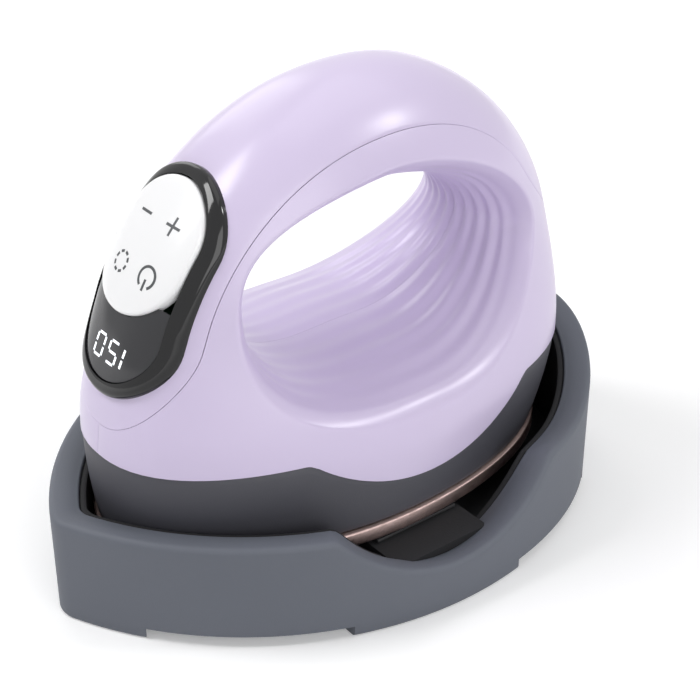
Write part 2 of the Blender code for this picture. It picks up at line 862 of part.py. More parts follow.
def stadium(half, half_length, middle, shrink=0.0):
    """Outline of a slot with round ends in panel coordinates."""
    radius = half - shrink
    straight = half_length - half
    outline = []
    for end in (1, -1):
        for step in range(STADIUM_STEPS + 1):
            angle = math.pi * step / STADIUM_STEPS
            if end < 0:
                angle += math.pi
            outline.append((radius * math.cos(angle), middle + end * straight + radius * math.sin(angle)))
        for step in range(1, STADIUM_SIDES):
            share = 1 - 2 * step / STADIUM_SIDES
            outline.append((-end * radius, middle + end * straight * share))
    return outline


def shrunk(outline, share, middle):
    """Outline drawn towards its middle."""
    return [(x * share, middle + (u - middle) * share) for x, u in outline]


def prism_ring(outline, n):
    """Ring of an outline at a fixed height over the chord."""
    return [panel_flat(x, u, n) for x, u in outline]


def surface_ring(outline, rise):
    """Ring of an outline that follows the body's surface."""
    return [panel_point(x, u, rise) for x, u in outline]


def panel_bezel():
    """Make the raised frame: a flange on the cover, and a plug through its cut-out."""
    half = panel_half()
    steps = (
        (0, FIT),
        (0, BEZEL_RISE - BEZEL_BEVEL),
        (BEZEL_BEVEL, BEZEL_RISE),
        (BEZEL_RIM, BEZEL_RISE),
        (BEZEL_RIM, -BEZEL_PLUG),
        (BEZEL_FLANGE + FIT, -BEZEL_PLUG),
        (BEZEL_FLANGE + FIT, FIT),
    )
    rings = [surface_ring(stadium(BEZEL_HALF, half, 0, inset), rise) for inset, rise in steps]
    return loft("panel_bezel", rings, GLOSS_BLACK, wrap=True)


def panel_slab(name, outline, middle, top, bottom, edge, finish):
    """Make a slab that follows the nose's curve, with a softened upper edge."""
    inner = shrunk(outline, 1 - edge / BEZEL_HALF, middle)
    rings = [surface_ring(shrunk(outline, share, middle), bottom) for share in (0.2, 0.6, 1.0)]
    rings.append(surface_ring(outline, top - edge))
    rings.append(surface_ring(inner, top))
    rings.extend(surface_ring(shrunk(outline, share, middle), top) for share in (0.6, 0.2))
    return loft(name, rings, finish)


def key_spots():
    """Places of the four key marks in panel coordinates."""
    return [(x, u) for u in (KEY_ROW_TOP, KEY_ROW_LOW) for x in (-KEY_COLUMN, KEY_COLUMN)]


def switch_top():
    """Height of the switches' buttons over the chord."""
    return BOARD_FACE + FIT + SWITCH_TALL


def keypad():
    """Make the white key pad with the four stems that press the switches."""
    outline = stadium(KEY_HALF, KEY_HALF_LENGTH, KEY_MIDDLE)
    bottom = KEY_RISE - KEY_THICK
    pad = panel_slab("keypad", outline, KEY_MIDDLE, KEY_RISE, bottom, KEY_EDGE, KEY_WHITE)
    ride_on(pad, "keypad_axis", panel_flat(0, KEY_MIDDLE, KEY_RISE), panel_frame()[2])
    bm = bmesh.new()
    for x, u in key_spots():
        top = panel_height(x, u) + bottom + KEY_THICK / 2
        low = switch_top() + STEM_CLEAR
        rod(bm, panel_flat(x, u, low), panel_flat(x, u, top), STEM_RADIUS, SMALL_SIDES)
    combine(pad, hidden("key_stems", bm), "UNION")
    return pad


def key_space():
    """Outline of what the keys take from the window: their round end and all above it."""
    radius = KEY_HALF + FIT
    centre = KEY_MIDDLE - (KEY_HALF_LENGTH - KEY_HALF)
    lean = math.acos(WINDOW_HORN_SHARE)
    outline = []
    for step in range(STADIUM_STEPS + 1):
        angle = mix(-lean, lean - math.pi, step / STADIUM_STEPS)
        outline.append((radius * math.cos(angle), centre + radius * math.sin(angle)))
    wide = BEZEL_HALF + OVERRUN
    top = panel_half() + OVERRUN
    horn = outline[0][1]
    return [(wide, top), (wide, horn), *outline, (-wide, horn), (-wide, top)]


def display_window():
    """Make the smoked window that fills the bezel below the keys."""
    inset = BEZEL_RIM + FIT
    outline = stadium(BEZEL_HALF, panel_half(), 0, inset)
    bottom = WINDOW_RISE - WINDOW_THICK
    window = panel_slab("display_window", outline, 0, WINDOW_RISE, bottom, FIT, WINDOW_SMOKE)
    bm = bmesh.new()
    hole = key_space()
    add_loft(bm, [prism_ring(hole, -PANEL_DEPTH), prism_ring(hole, PANEL_DEPTH)])
    combine(window, hidden("key_space", bm), "DIFFERENCE")
    return window


def control_board():
    """Make the board behind the keys and display."""
    inset = BEZEL_RIM + FIT
    outline = stadium(BEZEL_HALF, panel_half(), 0, inset)
    rings = [prism_ring(outline, BOARD_FACE - BOARD_THICK), prism_ring(outline, BOARD_FACE)]
    return loft("control_board", rings, BOARD_GREEN)


def panel_box(bm, x, u, half_x, half_u, low, high):
    """Add a box square to the panel's chord."""
    rings = []
    for n in (low, high):
        corners = ((-half_x, -half_u), (half_x, -half_u), (half_x, half_u), (-half_x, half_u))
        rings.append([panel_flat(x + dx, u + du, n) for dx, du in corners])
    add_loft(bm, rings)


def tact_switches():
    """Make the four switches under the keys."""
    body = SWITCH_TALL * 2 / 3
    bm = bmesh.new()
    rings = []
    for half, n in ((SWITCH_HALF, 0), (SWITCH_HALF, body), (SWITCH_HALF / 2, body),
                    (SWITCH_HALF / 2, SWITCH_TALL)):
        corners = ((-half, -half), (half, -half), (half, half), (-half, half))
        rings.append([Vector((x, y, n)) for x, y in corners])
    add_loft(bm, rings)
    _, upward, normal = panel_frame()
    turn = Matrix((Vector((UNIT, 0, 0)), upward, normal)).transposed().to_4x4()
    places = [Matrix.Translation(panel_flat(x, u, BOARD_FACE + FIT)) @ turn for x, u in key_spots()]
    place_copies("tact_switch", bm, CHIP_BLACK, places, smooth=False)


def display_module():
    """Make the digit display that stands on the control board."""
    corner = panel_height(DISPLAY_HALF, DIGIT_MIDDLE - DISPLAY_HALF_TALL)
    top = corner + WINDOW_RISE - WINDOW_THICK - FIT
    bm = bmesh.new()
    panel_box(bm, 0, DIGIT_MIDDLE, DISPLAY_HALF, DISPLAY_HALF_TALL, BOARD_FACE + FIT, top)
    return finish_object("display_module", bm, CHIP_BLACK, smooth=False)


# Skirt, plate and heater


def skirt_angles():
    """Plan angles of the skirt's stations, right under the shells' own."""
    angles = [math.pi]
    for turn in fan_angles(5, 8)[1:]:
        spot = fan_point(turn, edge_reach(turn, 0))
        front, back = nose_y(spot.z), tail_y(spot.z)
        angles.append(math.acos((front + back - 2 * spot.y) / (back - front)))
    angles.append(0.0)
    return angles[::-1]


def skirt_top(angle):
    """Height of the skirt's upper edge at a plan angle."""
    z = EDGE_Z
    for _ in range(SEARCHES):
        z = edge_z(plan_point(z, angle).y) - FIT
    return z


def skirt_foot():
    """Height of the skirt's lower edge, just over the plate."""
    return plate_top() + FIT


def skirt_housing():
    """Make the lower housing: a wall with a ledge inside for the heat shield."""
    foot = skirt_foot()
    angles = skirt_angles()
    rings = []
    for share in (0.0, 0.33, 0.66, 1.0):
        half = []
        for angle in angles:
            z = mix(foot, skirt_top(angle), share)
            half.append(plan_point(z, angle, SKIRT_STEP))
        rings.append(mirrored_ring(half))
    wall = SHELL_WALL
    reach = wall + LEDGE_REACH
    ledge_foot = LEDGE_TOP_Z - LEDGE_THICK
    half = []
    for angle in angles:
        half.append(plan_point(skirt_top(angle), angle, wall))
    rings.append(mirrored_ring(half))
    for z, depth in ((LEDGE_TOP_Z, wall), (LEDGE_TOP_Z, reach), (ledge_foot, reach),
                     (ledge_foot, wall), (foot, wall)):
        rings.append(mirrored_ring([plan_point(z, angle, depth) for angle in angles]))
    skirt = loft("skirt_housing", rings, SKIRT_GREY, wrap=True)
    bm = bmesh.new()
    for side in (1, -1):
        for spot in boss_spots(side):
            rod(bm, (spot.x, spot.y, ledge_foot - OVERRUN / 3), (spot.x, spot.y, spot.z + OVERRUN / 3),
                SMALL_HOLE, SMALL_SIDES)
    combine(skirt, hidden("ledge_holes", bm), "DIFFERENCE")
    return skirt


def screws(name, places, grip, radius, head, head_tall):
    """Make pan head screws whose heads stand on their places and whose shanks run back."""
    profile = (
        (radius, -grip),
        (radius, 0),
        (head, 0),
        (head, head_tall * HEAD_SIDE_SHARE),
        (head * HEAD_TOP_SHARE, head_tall),
    )
    bm = bmesh.new()
    turned(bm, profile, (0, 0, 0), (0, 0, UNIT), SMALL_SIDES)
    place_copies(name, bm, STEEL, places)


def skirt_screws():
    """Make the four screws that pull the skirt up against the shells."""
    spots = [(spot.x, spot.y) for side in (1, -1) for spot in boss_spots(side)]
    over = Matrix.Rotation(math.pi, 4, "X")
    places = [place @ over for place in at(spots, LEDGE_TOP_Z - LEDGE_THICK - FIT)]
    grip = LEDGE_THICK + BOSS_GRIP - FIT
    screws("skirt_screw", places, grip, SMALL_RADIUS, SMALL_HEAD, SMALL_HEAD_TALL)


def plate_top():
    """Height of the sole plate's upper face."""
    return PLATE_FOOT_Z + PLATE_THICK


def plate_nose(margin):
    """Place along Y at a margin behind the plate's nose."""
    return nose_y(plate_top()) + margin


def plate_tail(margin):
    """Place along Y at a margin before the plate's tail."""
    return tail_y(plate_top()) - margin


def plate_side(margin):
    """Place along X at a margin inside the plate's widest edge."""
    return widest_x(plate_top()) - margin


def post_spots():
    """Plan places of the sole plate's four posts."""
    side = plate_side(POST_SIDE_MARGIN)
    nose, tail = plate_nose(POST_NOSE_MARGIN), plate_tail(POST_TAIL_MARGIN)
    return [(0, nose), (side, POST_SIDE_Y), (-side, POST_SIDE_Y), (0, tail)]


def flat_ring(z, level, depth, nose=None, tail=None):
    """Ring of the body's plan outline at a level, moved in by a depth and laid at height z."""
    half = []
    for step in range(PLAN_STEPS + 1):
        spot = plan_point(level, math.pi * step / PLAN_STEPS, depth)
        y = spot.y if nose is None else min(max(spot.y, nose), tail)
        half.append(Vector((max(spot.x, 0), y, z)))
    return mirrored_ring(half)


def sole_plate():
    """Make the pressing plate with its four screw posts.

    The first ring parts the middle of the flat face from the border that rests on the pads.
    """
    top = plate_top()
    steps = (
        (PLATE_FOOT_Z, PLATE_REST),
        (PLATE_FOOT_Z, PLATE_BEVEL - PLATE_PROUD),
        (PLATE_FOOT_Z + PLATE_BEVEL, -PLATE_PROUD),
        (top - PLATE_BEVEL, -PLATE_PROUD),
        (top, PLATE_BEVEL - PLATE_PROUD),
    )
    plate = loft("sole_plate", [flat_ring(z, top, depth) for z, depth in steps], ROSE_METAL)
    bm = bmesh.new()
    holes = bmesh.new()
    for x, y in post_spots():
        rod(bm, (x, y, PLATE_FOOT_Z + PLATE_THICK / 2), (x, y, LEDGE_TOP_Z), POST_RADIUS)
        low = LEDGE_TOP_Z - SCREW_GRIP - FIT
        rod(holes, (x, y, low), (x, y, LEDGE_TOP_Z + OVERRUN), SCREW_HOLE, SMALL_SIDES)
    combine(plate, hidden("plate_posts", bm), "UNION")
    combine(plate, hidden("post_holes", holes), "DIFFERENCE")
    return plate


def tube_object(name, route, radius, finish, resolution):
    """Make a round tube along a route as a curve object."""
    curve = bpy.data.curves.new(name, "CURVE")
    curve.dimensions = "3D"
    curve.bevel_depth = radius
    curve.bevel_resolution = resolution
    curve.use_fill_caps = True
    line = curve.splines.new("POLY")
    line.points.add(len(route) - 1)
    for point, spot in zip(line.points, route):
        point.co = (*spot, UNIT)
    thing = bpy.data.objects.new(name, curve)
    thing.data.materials.append(finish.material())
    bpy.context.scene.collection.objects.link(thing)
    return thing


def smooth_route(points, steps):
    """Points of a smooth curve through the given ones."""
    points = [Vector(point) for point in points]
    ends = [points[0] * 2 - points[1], *points, points[-1] * 2 - points[-2]]
    route = []
    for index in range(1, len(ends) - 2):
        before, start, end, after = ends[index - 1:index + 3]
        for step in range(steps):
            share = step / steps
            pull = (end - before) * (share * (1 - share) ** 2 / 2)
            push = (after - start) * (share * share * (1 - share) / 2)
            route.append(start.lerp(end, share * share * (3 - 2 * share)) + pull - push)
    route.append(points[-1])
    return route


def tube_z():
    """Height of the heating tube's centre line."""
    return plate_top() + FIT + TUBE_RADIUS


def tube_spread():
    """Half the distance between the heating tube's two legs."""
    return plate_side(TUBE_SIDE_MARGIN)


def heating_element():
    """Make the horseshoe heating tube on top of the plate."""
    z = tube_z()
    spread = tube_spread()
    bend, tail = plate_nose(TUBE_BEND_MARGIN), plate_tail(TUBE_TAIL_MARGIN)
    route = [(spread, tail, z), (spread, (tail + bend) / 2, z)]
    steps = 10
    for step in range(steps + 1):
        angle = -math.pi * step / steps
        route.append((spread * math.cos(angle), bend + spread * math.sin(angle), z))
    route.append((-spread, (tail + bend) / 2, z))
    route.append((-spread, tail, z))
    return tube_object("heating_element", route, TUBE_RADIUS, TUBE_STEEL, 2)


def pad_foot():
    """Height of the insulation pad's underside, on the heating tube."""
    return tube_z() + TUBE_RADIUS + FIT


def hole_cutter(name, spots, radius, low, high):
    """Upright round holes at plan places."""
    bm = bmesh.new()
    for x, y in spots:
        rod(bm, (x, y, low), (x, y, high), radius, SMALL_SIDES)
    return hidden(name, bm)


def lead_spots():
    """Plan places where the heater leads come up."""
    return [(side * tube_spread(), plate_tail(LEAD_MARGIN)) for side in (1, -1)]


def insulation_pad():
    """Make the ceramic pad between the heater and the shield."""
    foot = pad_foot()
    top = foot + PAD_THICK
    level = skirt_foot()
    pad = loft("insulation_pad", [flat_ring(foot, level, PAD_INSET), flat_ring(top, level, PAD_INSET)], FIBRE)
    cutter = hole_cutter("pad_post_holes", post_spots(), POST_RADIUS + FIT, foot - OVERRUN, top + OVERRUN)
    combine(pad, cutter, "DIFFERENCE")
    cutter = hole_cutter("pad_lead_holes", lead_spots(), LEAD_HOLE, foot - OVERRUN, top + OVERRUN)
    combine(pad, cutter, "DIFFERENCE")
    return pad


def shield_foot():
    """Height of the heat shield's underside, on the skirt's ledge."""
    return LEDGE_TOP_Z + FIT


def heat_shield():
    """Make the steel sheet that carries the power board."""
    foot = shield_foot()
    top = foot + SHIELD_THICK
    level = LEDGE_TOP_Z
    nose, tail = plate_nose(SHIELD_NOSE_MARGIN), plate_tail(SHIELD_TAIL_MARGIN)
    rings = [flat_ring(z, level, SKIRT_STEP + SHIELD_INSET, nose, tail) for z in (foot, top)]
    shield = loft("heat_shield", rings, STEEL)
    cutter = hole_cutter("shield_screw_holes", post_spots(), SCREW_HOLE, foot - OVERRUN, top + OVERRUN)
    combine(shield, cutter, "DIFFERENCE")
    cutter = hole_cutter("shield_lead_holes", lead_spots(), LEAD_HOLE, foot - OVERRUN, top + OVERRUN)
    combine(shield, cutter, "DIFFERENCE")
    return shield


def plate_screws():
    """Make the four screws that clamp the shield to the plate's posts."""
    seat = shield_foot() + SHIELD_THICK + FIT
    grip = seat - LEDGE_TOP_Z + SCREW_GRIP - FIT
    screws("plate_screw", at(post_spots(), seat), grip, SCREW_RADIUS, SCREW_HEAD, SCREW_HEAD_TALL)


def lying_rod(name, middle, half, radius, finish, end=0.0):
    """Make a round part lying along X with softened ends."""
    bm = bmesh.new()
    x, y, z = middle
    profile = ((radius - end, 0), (radius, end), (radius, 2 * half - end), (radius - end, 2 * half))
    turned(bm, profile, (x - half, y, z), (UNIT, 0, 0), SMALL_SIDES)
    return finish_object(name, bm, finish)


def thermal_fuse():
    """Make the one-shot thermal fuse on the plate."""
    z = plate_top() + FIT + FUSE_RADIUS
    return lying_rod("thermal_fuse", (0, FUSE_Y, z), FUSE_HALF, FUSE_RADIUS, STEEL, CLIP_THICK)


def temperature_sensor():
    """Make the temperature sensor on the plate."""
    z = plate_top() + FIT + SENSOR_RADIUS
    return lying_rod("temperature_sensor", (0, SENSOR_Y, z), SENSOR_HALF, SENSOR_RADIUS, FUSE_GLASS, CLIP_THICK)


def clip_ring(x, y, radius):
    """Section of a saddle clip across a round part that lies along X."""
    foot = plate_top() + FIT
    centre = foot + radius
    outer = radius + FIT + CLIP_THICK
    inner = radius + FIT
    steps = 6
    ring = [Vector((x, y - outer - CLIP_FOOT, foot)), Vector((x, y - outer - CLIP_FOOT, foot + CLIP_THICK))]
    ring.append(Vector((x, y - outer, foot + CLIP_THICK)))
    for step in range(steps + 1):
        angle = math.pi - math.pi * step / steps
        ring.append(Vector((x, y + outer * math.cos(angle), centre + outer * math.sin(angle))))
    ring.append(Vector((x, y + outer, foot + CLIP_THICK)))
    ring.append(Vector((x, y + outer + CLIP_FOOT, foot + CLIP_THICK)))
    ring.append(Vector((x, y + outer + CLIP_FOOT, foot)))
    ring.append(Vector((x, y + inner, foot)))
    for step in range(steps + 1):
        angle = math.pi * step / steps
        ring.append(Vector((x, y + inner * math.cos(angle), centre + inner * math.sin(angle))))
    ring.append(Vector((x, y - inner, foot)))
    return ring


def saddle_clips():
    """Make the two saddle clips that hold the fuse and the sensor down."""
    for name, y, radius in (("fuse_clip", FUSE_Y, FUSE_RADIUS), ("sensor_clip", SENSOR_Y, SENSOR_RADIUS)):
        loft(name, [clip_ring(-CLIP_HALF, y, radius), clip_ring(CLIP_HALF, y, radius)], STEEL)


# Power board and its parts


def board_foot():
    """Height of the power board's underside."""
    return shield_foot() + SHIELD_THICK + STANDOFF_TALL + 2 * FIT


def board_top():
    """Height of the power board's upper face."""
    return board_foot() + POWER_THICK


def board_nose():
    """Place along Y of the power board's nose edge."""
    return plate_nose(POWER_NOSE_MARGIN)


def board_tail():
    """Place along Y of the power board's tail edge."""
    return plate_tail(POWER_TAIL_MARGIN)


def standoff_spots():
    """Plan places of the four standoffs."""
    x = plate_side(POWER_SIDE_MARGIN) - STANDOFF_MARGIN
    return [(side * x, y) for side in (1, -1)
            for y in (board_nose() + STANDOFF_MARGIN, board_tail() - STANDOFF_MARGIN)]


def power_board():
    """Make the power board with rounded corners and screw holes."""
    bm = bmesh.new()
    foot, top = board_foot(), board_top()
    half = plate_side(POWER_SIDE_MARGIN)
    block(bm, (-half, board_nose(), foot), (half, board_tail(), top))
    upright = [edge for edge in bm.edges if abs(edge.verts[0].co.z - edge.verts[1].co.z) > FIT]
    soften(bm, upright, POWER_CORNER)
    board = finish_object("power_board", bm, BOARD_GREEN, smooth=False)
    cutter = hole_cutter("board_holes", standoff_spots(), SMALL_HOLE, foot - OVERRUN, top + OVERRUN)
    combine(board, cutter, "DIFFERENCE")
    return board


def board_standoffs():
    """Make the four standoffs between shield and power board."""
    bm = bmesh.new()
    profile = ((STANDOFF_RADIUS, 0), (STANDOFF_RADIUS, STANDOFF_TALL), (SMALL_HOLE, STANDOFF_TALL),
               (SMALL_HOLE, STANDOFF_TALL / 3))
    turned(bm, profile, (0, 0, 0), (0, 0, UNIT), STANDOFF_SIDES)
    low = shield_foot() + SHIELD_THICK + FIT
    place_copies("board_standoff", bm, STEEL, at(standoff_spots(), low), smooth=False)


def board_screws():
    """Make the four screws of the power board."""
    grip = POWER_THICK + STANDOFF_TALL / 2
    places = at(standoff_spots(), board_top() + FIT)
    screws("board_screw", places, grip, SMALL_RADIUS, SMALL_HEAD, SMALL_HEAD_TALL)


def board_block(name, middle_x, middle_y, size, finish):
    """Make a boxy component standing on the power board."""
    low = board_top() + FIT
    half_x, half_y = size[0] / 2, size[1] / 2
    start = (middle_x - half_x, middle_y - half_y, low)
    end = (middle_x + half_x, middle_y + half_y, low + size[2])
    return rounded_block(name, start, end, PART_EDGE, finish)


def terminal_wide():
    """Width of the terminal block, between the two standoffs at the tail."""
    half = plate_side(POWER_SIDE_MARGIN) - STANDOFF_MARGIN - STANDOFF_RADIUS - TERMINAL_GAP
    return 2 * half


def board_parts():
    """Make the parts that stand on the power board."""
    nose, tail = board_nose(), board_tail()
    size = (terminal_wide(), TERMINAL_DEEP, TERMINAL_TALL)
    board_block("terminal_block", 0, tail - TERMINAL_MARGIN - TERMINAL_DEEP / 2, size, TERMINAL)
    board_block("film_capacitor", 0, mix(nose, tail, CAPACITOR_SHARE), CAPACITOR_SIZE, CAP_BLUE)
    board_block("triac", TRIAC_X, nose + TRIAC_MARGIN, TRIAC_SIZE, CHIP_BLACK)
    low = board_top() + FIT
    middle = (0, mix(nose, tail, LINE_FUSE_SHARE), low + LINE_FUSE_RADIUS)
    lying_rod("line_fuse", middle, LINE_FUSE_HALF, LINE_FUSE_RADIUS, FUSE_GLASS, PART_EDGE)
    middle = (0, mix(nose, tail, TILT_SHARE), low + TILT_RADIUS)
    lying_rod("tilt_switch", middle, TILT_HALF, TILT_RADIUS, STEEL, PART_EDGE)
    bm = bmesh.new()
    profile = ((BUZZER_RADIUS, 0), (BUZZER_RADIUS, BUZZER_TALL - PART_EDGE),
               (BUZZER_RADIUS - PART_EDGE, BUZZER_TALL))
    turned(bm, profile, (BUZZER_X, nose + BUZZER_MARGIN, low), (0, 0, UNIT), ROUND_SIDES)
    finish_object("buzzer", bm, CHIP_BLACK)


def display_ribbon():
    """Make the flat cable from the control board down to the power board."""
    back = BOARD_FACE - BOARD_THICK - FIT - RIBBON_THICK
    start = panel_flat(0, RIBBON_START, back)
    leave = panel_flat(0, RIBBON_START - RIBBON_SPAN, back - RIBBON_SPAN / 4)
    end = Vector((0, board_nose() + RIBBON_SPAN / 2, board_top() + FIT + RIBBON_THICK))
    drop = Vector((0, board_nose() - RIBBON_SPAN, end.z + RIBBON_SPAN / 3))
    land = Vector((0, board_nose() - RIBBON_SPAN / 4, end.z))
    route = smooth_route([start, leave, drop, land, end], 4)
    rings = []
    for index, spot in enumerate(route):
        before = route[max(index - 1, 0)]
        after = route[min(index + 1, len(route) - 1)]
        along = (after - before).normalized()
        out = Vector((0, -along.z, along.y)) * (RIBBON_THICK / 2)
        side = Vector((RIBBON_HALF, 0, 0))
        rings.append([spot - side - out, spot + side - out, spot + side + out, spot - side + out])
    return loft("display_ribbon", rings, LEAD_WHITE)


def heater_leads():
    """Make the two leads from the heating tube up to the terminal block."""
    z = tube_z()
    shield_top = shield_foot() + SHIELD_THICK
    entry_z = board_top() + TERMINAL_TALL * LEAD_TOP_SHARE
    entry_y = board_tail() - TERMINAL_MARGIN + FIT
    tail = plate_tail(TUBE_TAIL_MARGIN)
    up_y = plate_tail(LEAD_MARGIN)
    for name, side in (("right_heater_lead", 1), ("left_heater_lead", -1)):
        x = side * tube_spread()
        entry_x = side * terminal_wide() / 4
        points = [
            (x, tail + FIT, z),
            (x, (tail + up_y) / 2, z),
            (x, up_y, pad_foot() + PAD_THICK / 2),
            (x, up_y, shield_top + LEAD_CLEAR),
            (x, up_y + LEAD_CLEAR / 2, board_top()),
            ((x + entry_x) / 2, entry_y + LEAD_CLEAR * 2, entry_z - LEAD_CLEAR / 4),
            (entry_x, entry_y + LEAD_CLEAR, entry_z),
            (entry_x, entry_y, entry_z),
        ]
        tube_object(name, smooth_route(points, 3), LEAD_RADIUS, LEAD_WHITE, 1)


def tail_surface(x, z):
    """Place along Y of the tail's surface beside the mirror plane."""
    low, high = HOLE_Y, tail_y(z)
    for _ in range(SEARCHES):
        middle = (low + high) / 2
        if half_width(middle, z) > abs(x):
            low = middle
        else:
            high = middle
    return low


def gland_recess():
    """How far the tail's surface falls back within the gland's flange."""
    edge = [(GLAND_FLANGE * math.cos(math.tau * step / ROUND_SIDES),
             GLAND_FLANGE * math.sin(math.tau * step / ROUND_SIDES)) for step in range(ROUND_SIDES)]
    return tail_y(GLAND_Z) - min(tail_surface(x, GLAND_Z + z) for x, z in edge)


def cord_gland():
    """Make the gland at the tail: a sleeve with a flange outside and one inside."""
    back = tail_y(GLAND_Z)
    inner = back - gland_recess() - tongue_depth() - GLAND_PLAY
    outer = back + FIT + GLAND_PROUD
    bevel = GLAND_FLANGE_THICK / 3
    profile = (
        (GLAND_BORE, inner - GLAND_FLANGE_THICK),
        (GLAND_FLANGE, inner - GLAND_FLANGE_THICK),
        (GLAND_FLANGE, inner - FIT),
        (GLAND_BODY, inner - FIT),
        (GLAND_BODY, outer),
        (GLAND_FLANGE, outer),
        (GLAND_FLANGE, outer + GLAND_FLANGE_THICK - bevel),
        (GLAND_FLANGE - bevel, outer + GLAND_FLANGE_THICK),
        (GLAND_BORE, outer + GLAND_FLANGE_THICK),
    )
    rings = []
    for radius, y in profile:
        ring = []
        for index in range(ROUND_SIDES):
            angle = math.tau * index / ROUND_SIDES
            ring.append(Vector((radius * math.cos(angle), y, GLAND_Z + radius * math.sin(angle))))
        rings.append(ring)
    return loft("cord_gland", rings, PAD_BLACK, wrap=True)


# Safety base


def base_half():
    """Half width of the base."""
    return plate_side(-BASE_SIDE_ROOM)


def base_nose():
    """Place along Y of the base's nose."""
    return plate_nose(-BASE_NOSE_ROOM)


def base_tail():
    """Place along Y of the base's tail."""
    return plate_tail(-BASE_TAIL_ROOM)


def side_arc_radius():
    """Radius of the side arcs, so that they run into the nose arc at the base's nose."""
    reach = BASE_WIDEST_Y - base_nose() - BASE_NOSE_RADIUS
    across = base_half() - BASE_NOSE_RADIUS
    return (reach * reach / across + base_half() + BASE_NOSE_RADIUS) / 2


def teardrop(inset, nose_radius):
    """Half outline of the base from nose to tail, moved in by an inset."""
    half = base_half() - inset
    side = side_arc_radius() - inset
    tail = base_tail() - BASE_WIDEST_Y - inset
    reach = side - nose_radius
    nose_centre = -math.sqrt(reach ** 2 - (side - half) ** 2)
    turn = math.acos((side - half) / reach)
    nose_steps, side_steps, tail_steps = BASE_STEPS
    points = []
    for step in range(nose_steps):
        angle = mix(-math.pi / 2, -turn, step / nose_steps)
        points.append((nose_radius * math.cos(angle), nose_centre + nose_radius * math.sin(angle)))
    for step in range(side_steps):
        angle = mix(-turn, 0, step / side_steps)
        points.append((half - side + side * math.cos(angle), side * math.sin(angle)))
    for step in range(tail_steps + 1):
        angle = mix(0, math.pi / 2, step / tail_steps)
        points.append((half * math.cos(angle) if step < tail_steps else 0.0, tail * math.sin(angle)))
    return [(x, y + BASE_WIDEST_Y) for x, y in points]


def notch_share(y):
    """How deep in the side notch a place is: 0 outside, 1 at its bottom."""
    return min(max((plateau_z(y) - rim_z(y)) / (BASE_RIM_Z - BASE_NOTCH_Z), 0.0), 1.0)


def plateau_z(y):
    """Height of the rim without its notch, rising behind the tail."""
    share = min(max((y - base_tail() + BASE_TAIL_RISE) / BASE_TAIL_RISE, 0.0), 1.0)
    return BASE_RIM_Z + (BASE_TAIL_RIM_Z - BASE_RIM_Z) * share * share


def rim_z(y):
    """Height of the rim: the plateau, with a round notch blended into it."""
    plateau = plateau_z(y)
    reach = BASE_NOTCH_RADIUS ** 2 - y * y
    if reach <= 0:
        return plateau
    notch = BASE_NOTCH_Z + BASE_NOTCH_RADIUS - math.sqrt(reach)
    apart = (notch - plateau) / BASE_NOTCH_BLEND
    if abs(apart) >= 1:
        return min(notch, plateau)
    return (notch + plateau) / 2 - BASE_NOTCH_BLEND * (1 + apart * apart) / 4


def base_ring(inset, height):
    """Ring of the base at an inset, with a height that may follow the rim."""
    radius = BASE_NOSE_RADIUS - inset if inset < BASE_NOSE_RADIUS - BASE_NOSE_INNER else BASE_NOSE_INNER
    outer = teardrop(0, BASE_NOSE_RADIUS)
    half = []
    for (x, y), (_, outer_y) in zip(teardrop(inset, radius), outer):
        half.append(Vector((x, y, height(outer_y))))
    return mirrored_ring(half)


def spread_ring(extra, drop):
    """Ring along the rim's inner side, further in where the rim is notched."""
    outer = teardrop(0, BASE_NOSE_RADIUS)
    half = []
    for index, (_, y) in enumerate(outer):
        share = notch_share(y)
        inset = BASE_RIM_WIDE + BASE_RIM_SPREAD * share + extra
        x, inner_y = teardrop(inset, BASE_NOSE_INNER)[index]
        half.append(Vector((x, inner_y, drop(y, share))))
    return mirrored_ring(half)


def rim_inner_z(y, share):
    """Height of the rim's inner edge."""
    return rim_z(y) - BASE_RIM_DROP - BASE_RIM_SLOPE * share


def base_tray():
    """Make the safety base: rim, walls, feet and the ledges that hold the plate."""
    rings = [
        base_ring(BASE_SOLE, lambda y: BASE_UNDER_Z),
        base_ring(BASE_SOLE, lambda y: 0.0),
        base_ring(BASE_FOOT_ROUND, lambda y: 0.0),
        base_ring(0, lambda y: BASE_FOOT_ROUND),
        base_ring(0, lambda y: rim_z(y) - BASE_RIM_ROUND),
        base_ring(BASE_RIM_ROUND * 0.3, lambda y: rim_z(y) - BASE_RIM_ROUND * 0.3),
        base_ring(BASE_RIM_ROUND, rim_z),
        spread_ring(0, rim_inner_z),
        spread_ring(BASE_RIM_ROUND / 4, lambda y, share: rim_inner_z(y, share) - BASE_RIM_ROUND / 4),
        spread_ring(BASE_RIM_ROUND / 4, lambda y, share: BASE_FLOOR_Z),
    ]
    tray = loft("base_tray", rings, BASE_GREY)
    combine(tray, ledge_blocks(), "UNION")
    combine(tray, foot_gaps(), "DIFFERENCE")
    return tray


def foot_gaps():
    """Spaces under the wall between the feet."""
    bm = bmesh.new()
    reach = base_half() + OVERRUN
    for low, high in ((base_nose() + BASE_NOSE_FOOT, BASE_SIDE_FOOT_NOSE_Y),
                      (BASE_SIDE_FOOT_TAIL_Y, base_tail() - BASE_TAIL_FOOT)):
        block(bm, (-reach, low, -OVERRUN), (reach, high, BASE_UNDER_Z))
    return hidden("foot_gaps", bm)


def ledge_top():
    """Height of the base's ledges."""
    return PLATE_FOOT_Z - FIT - LEDGE_PAD_THICK - FIT


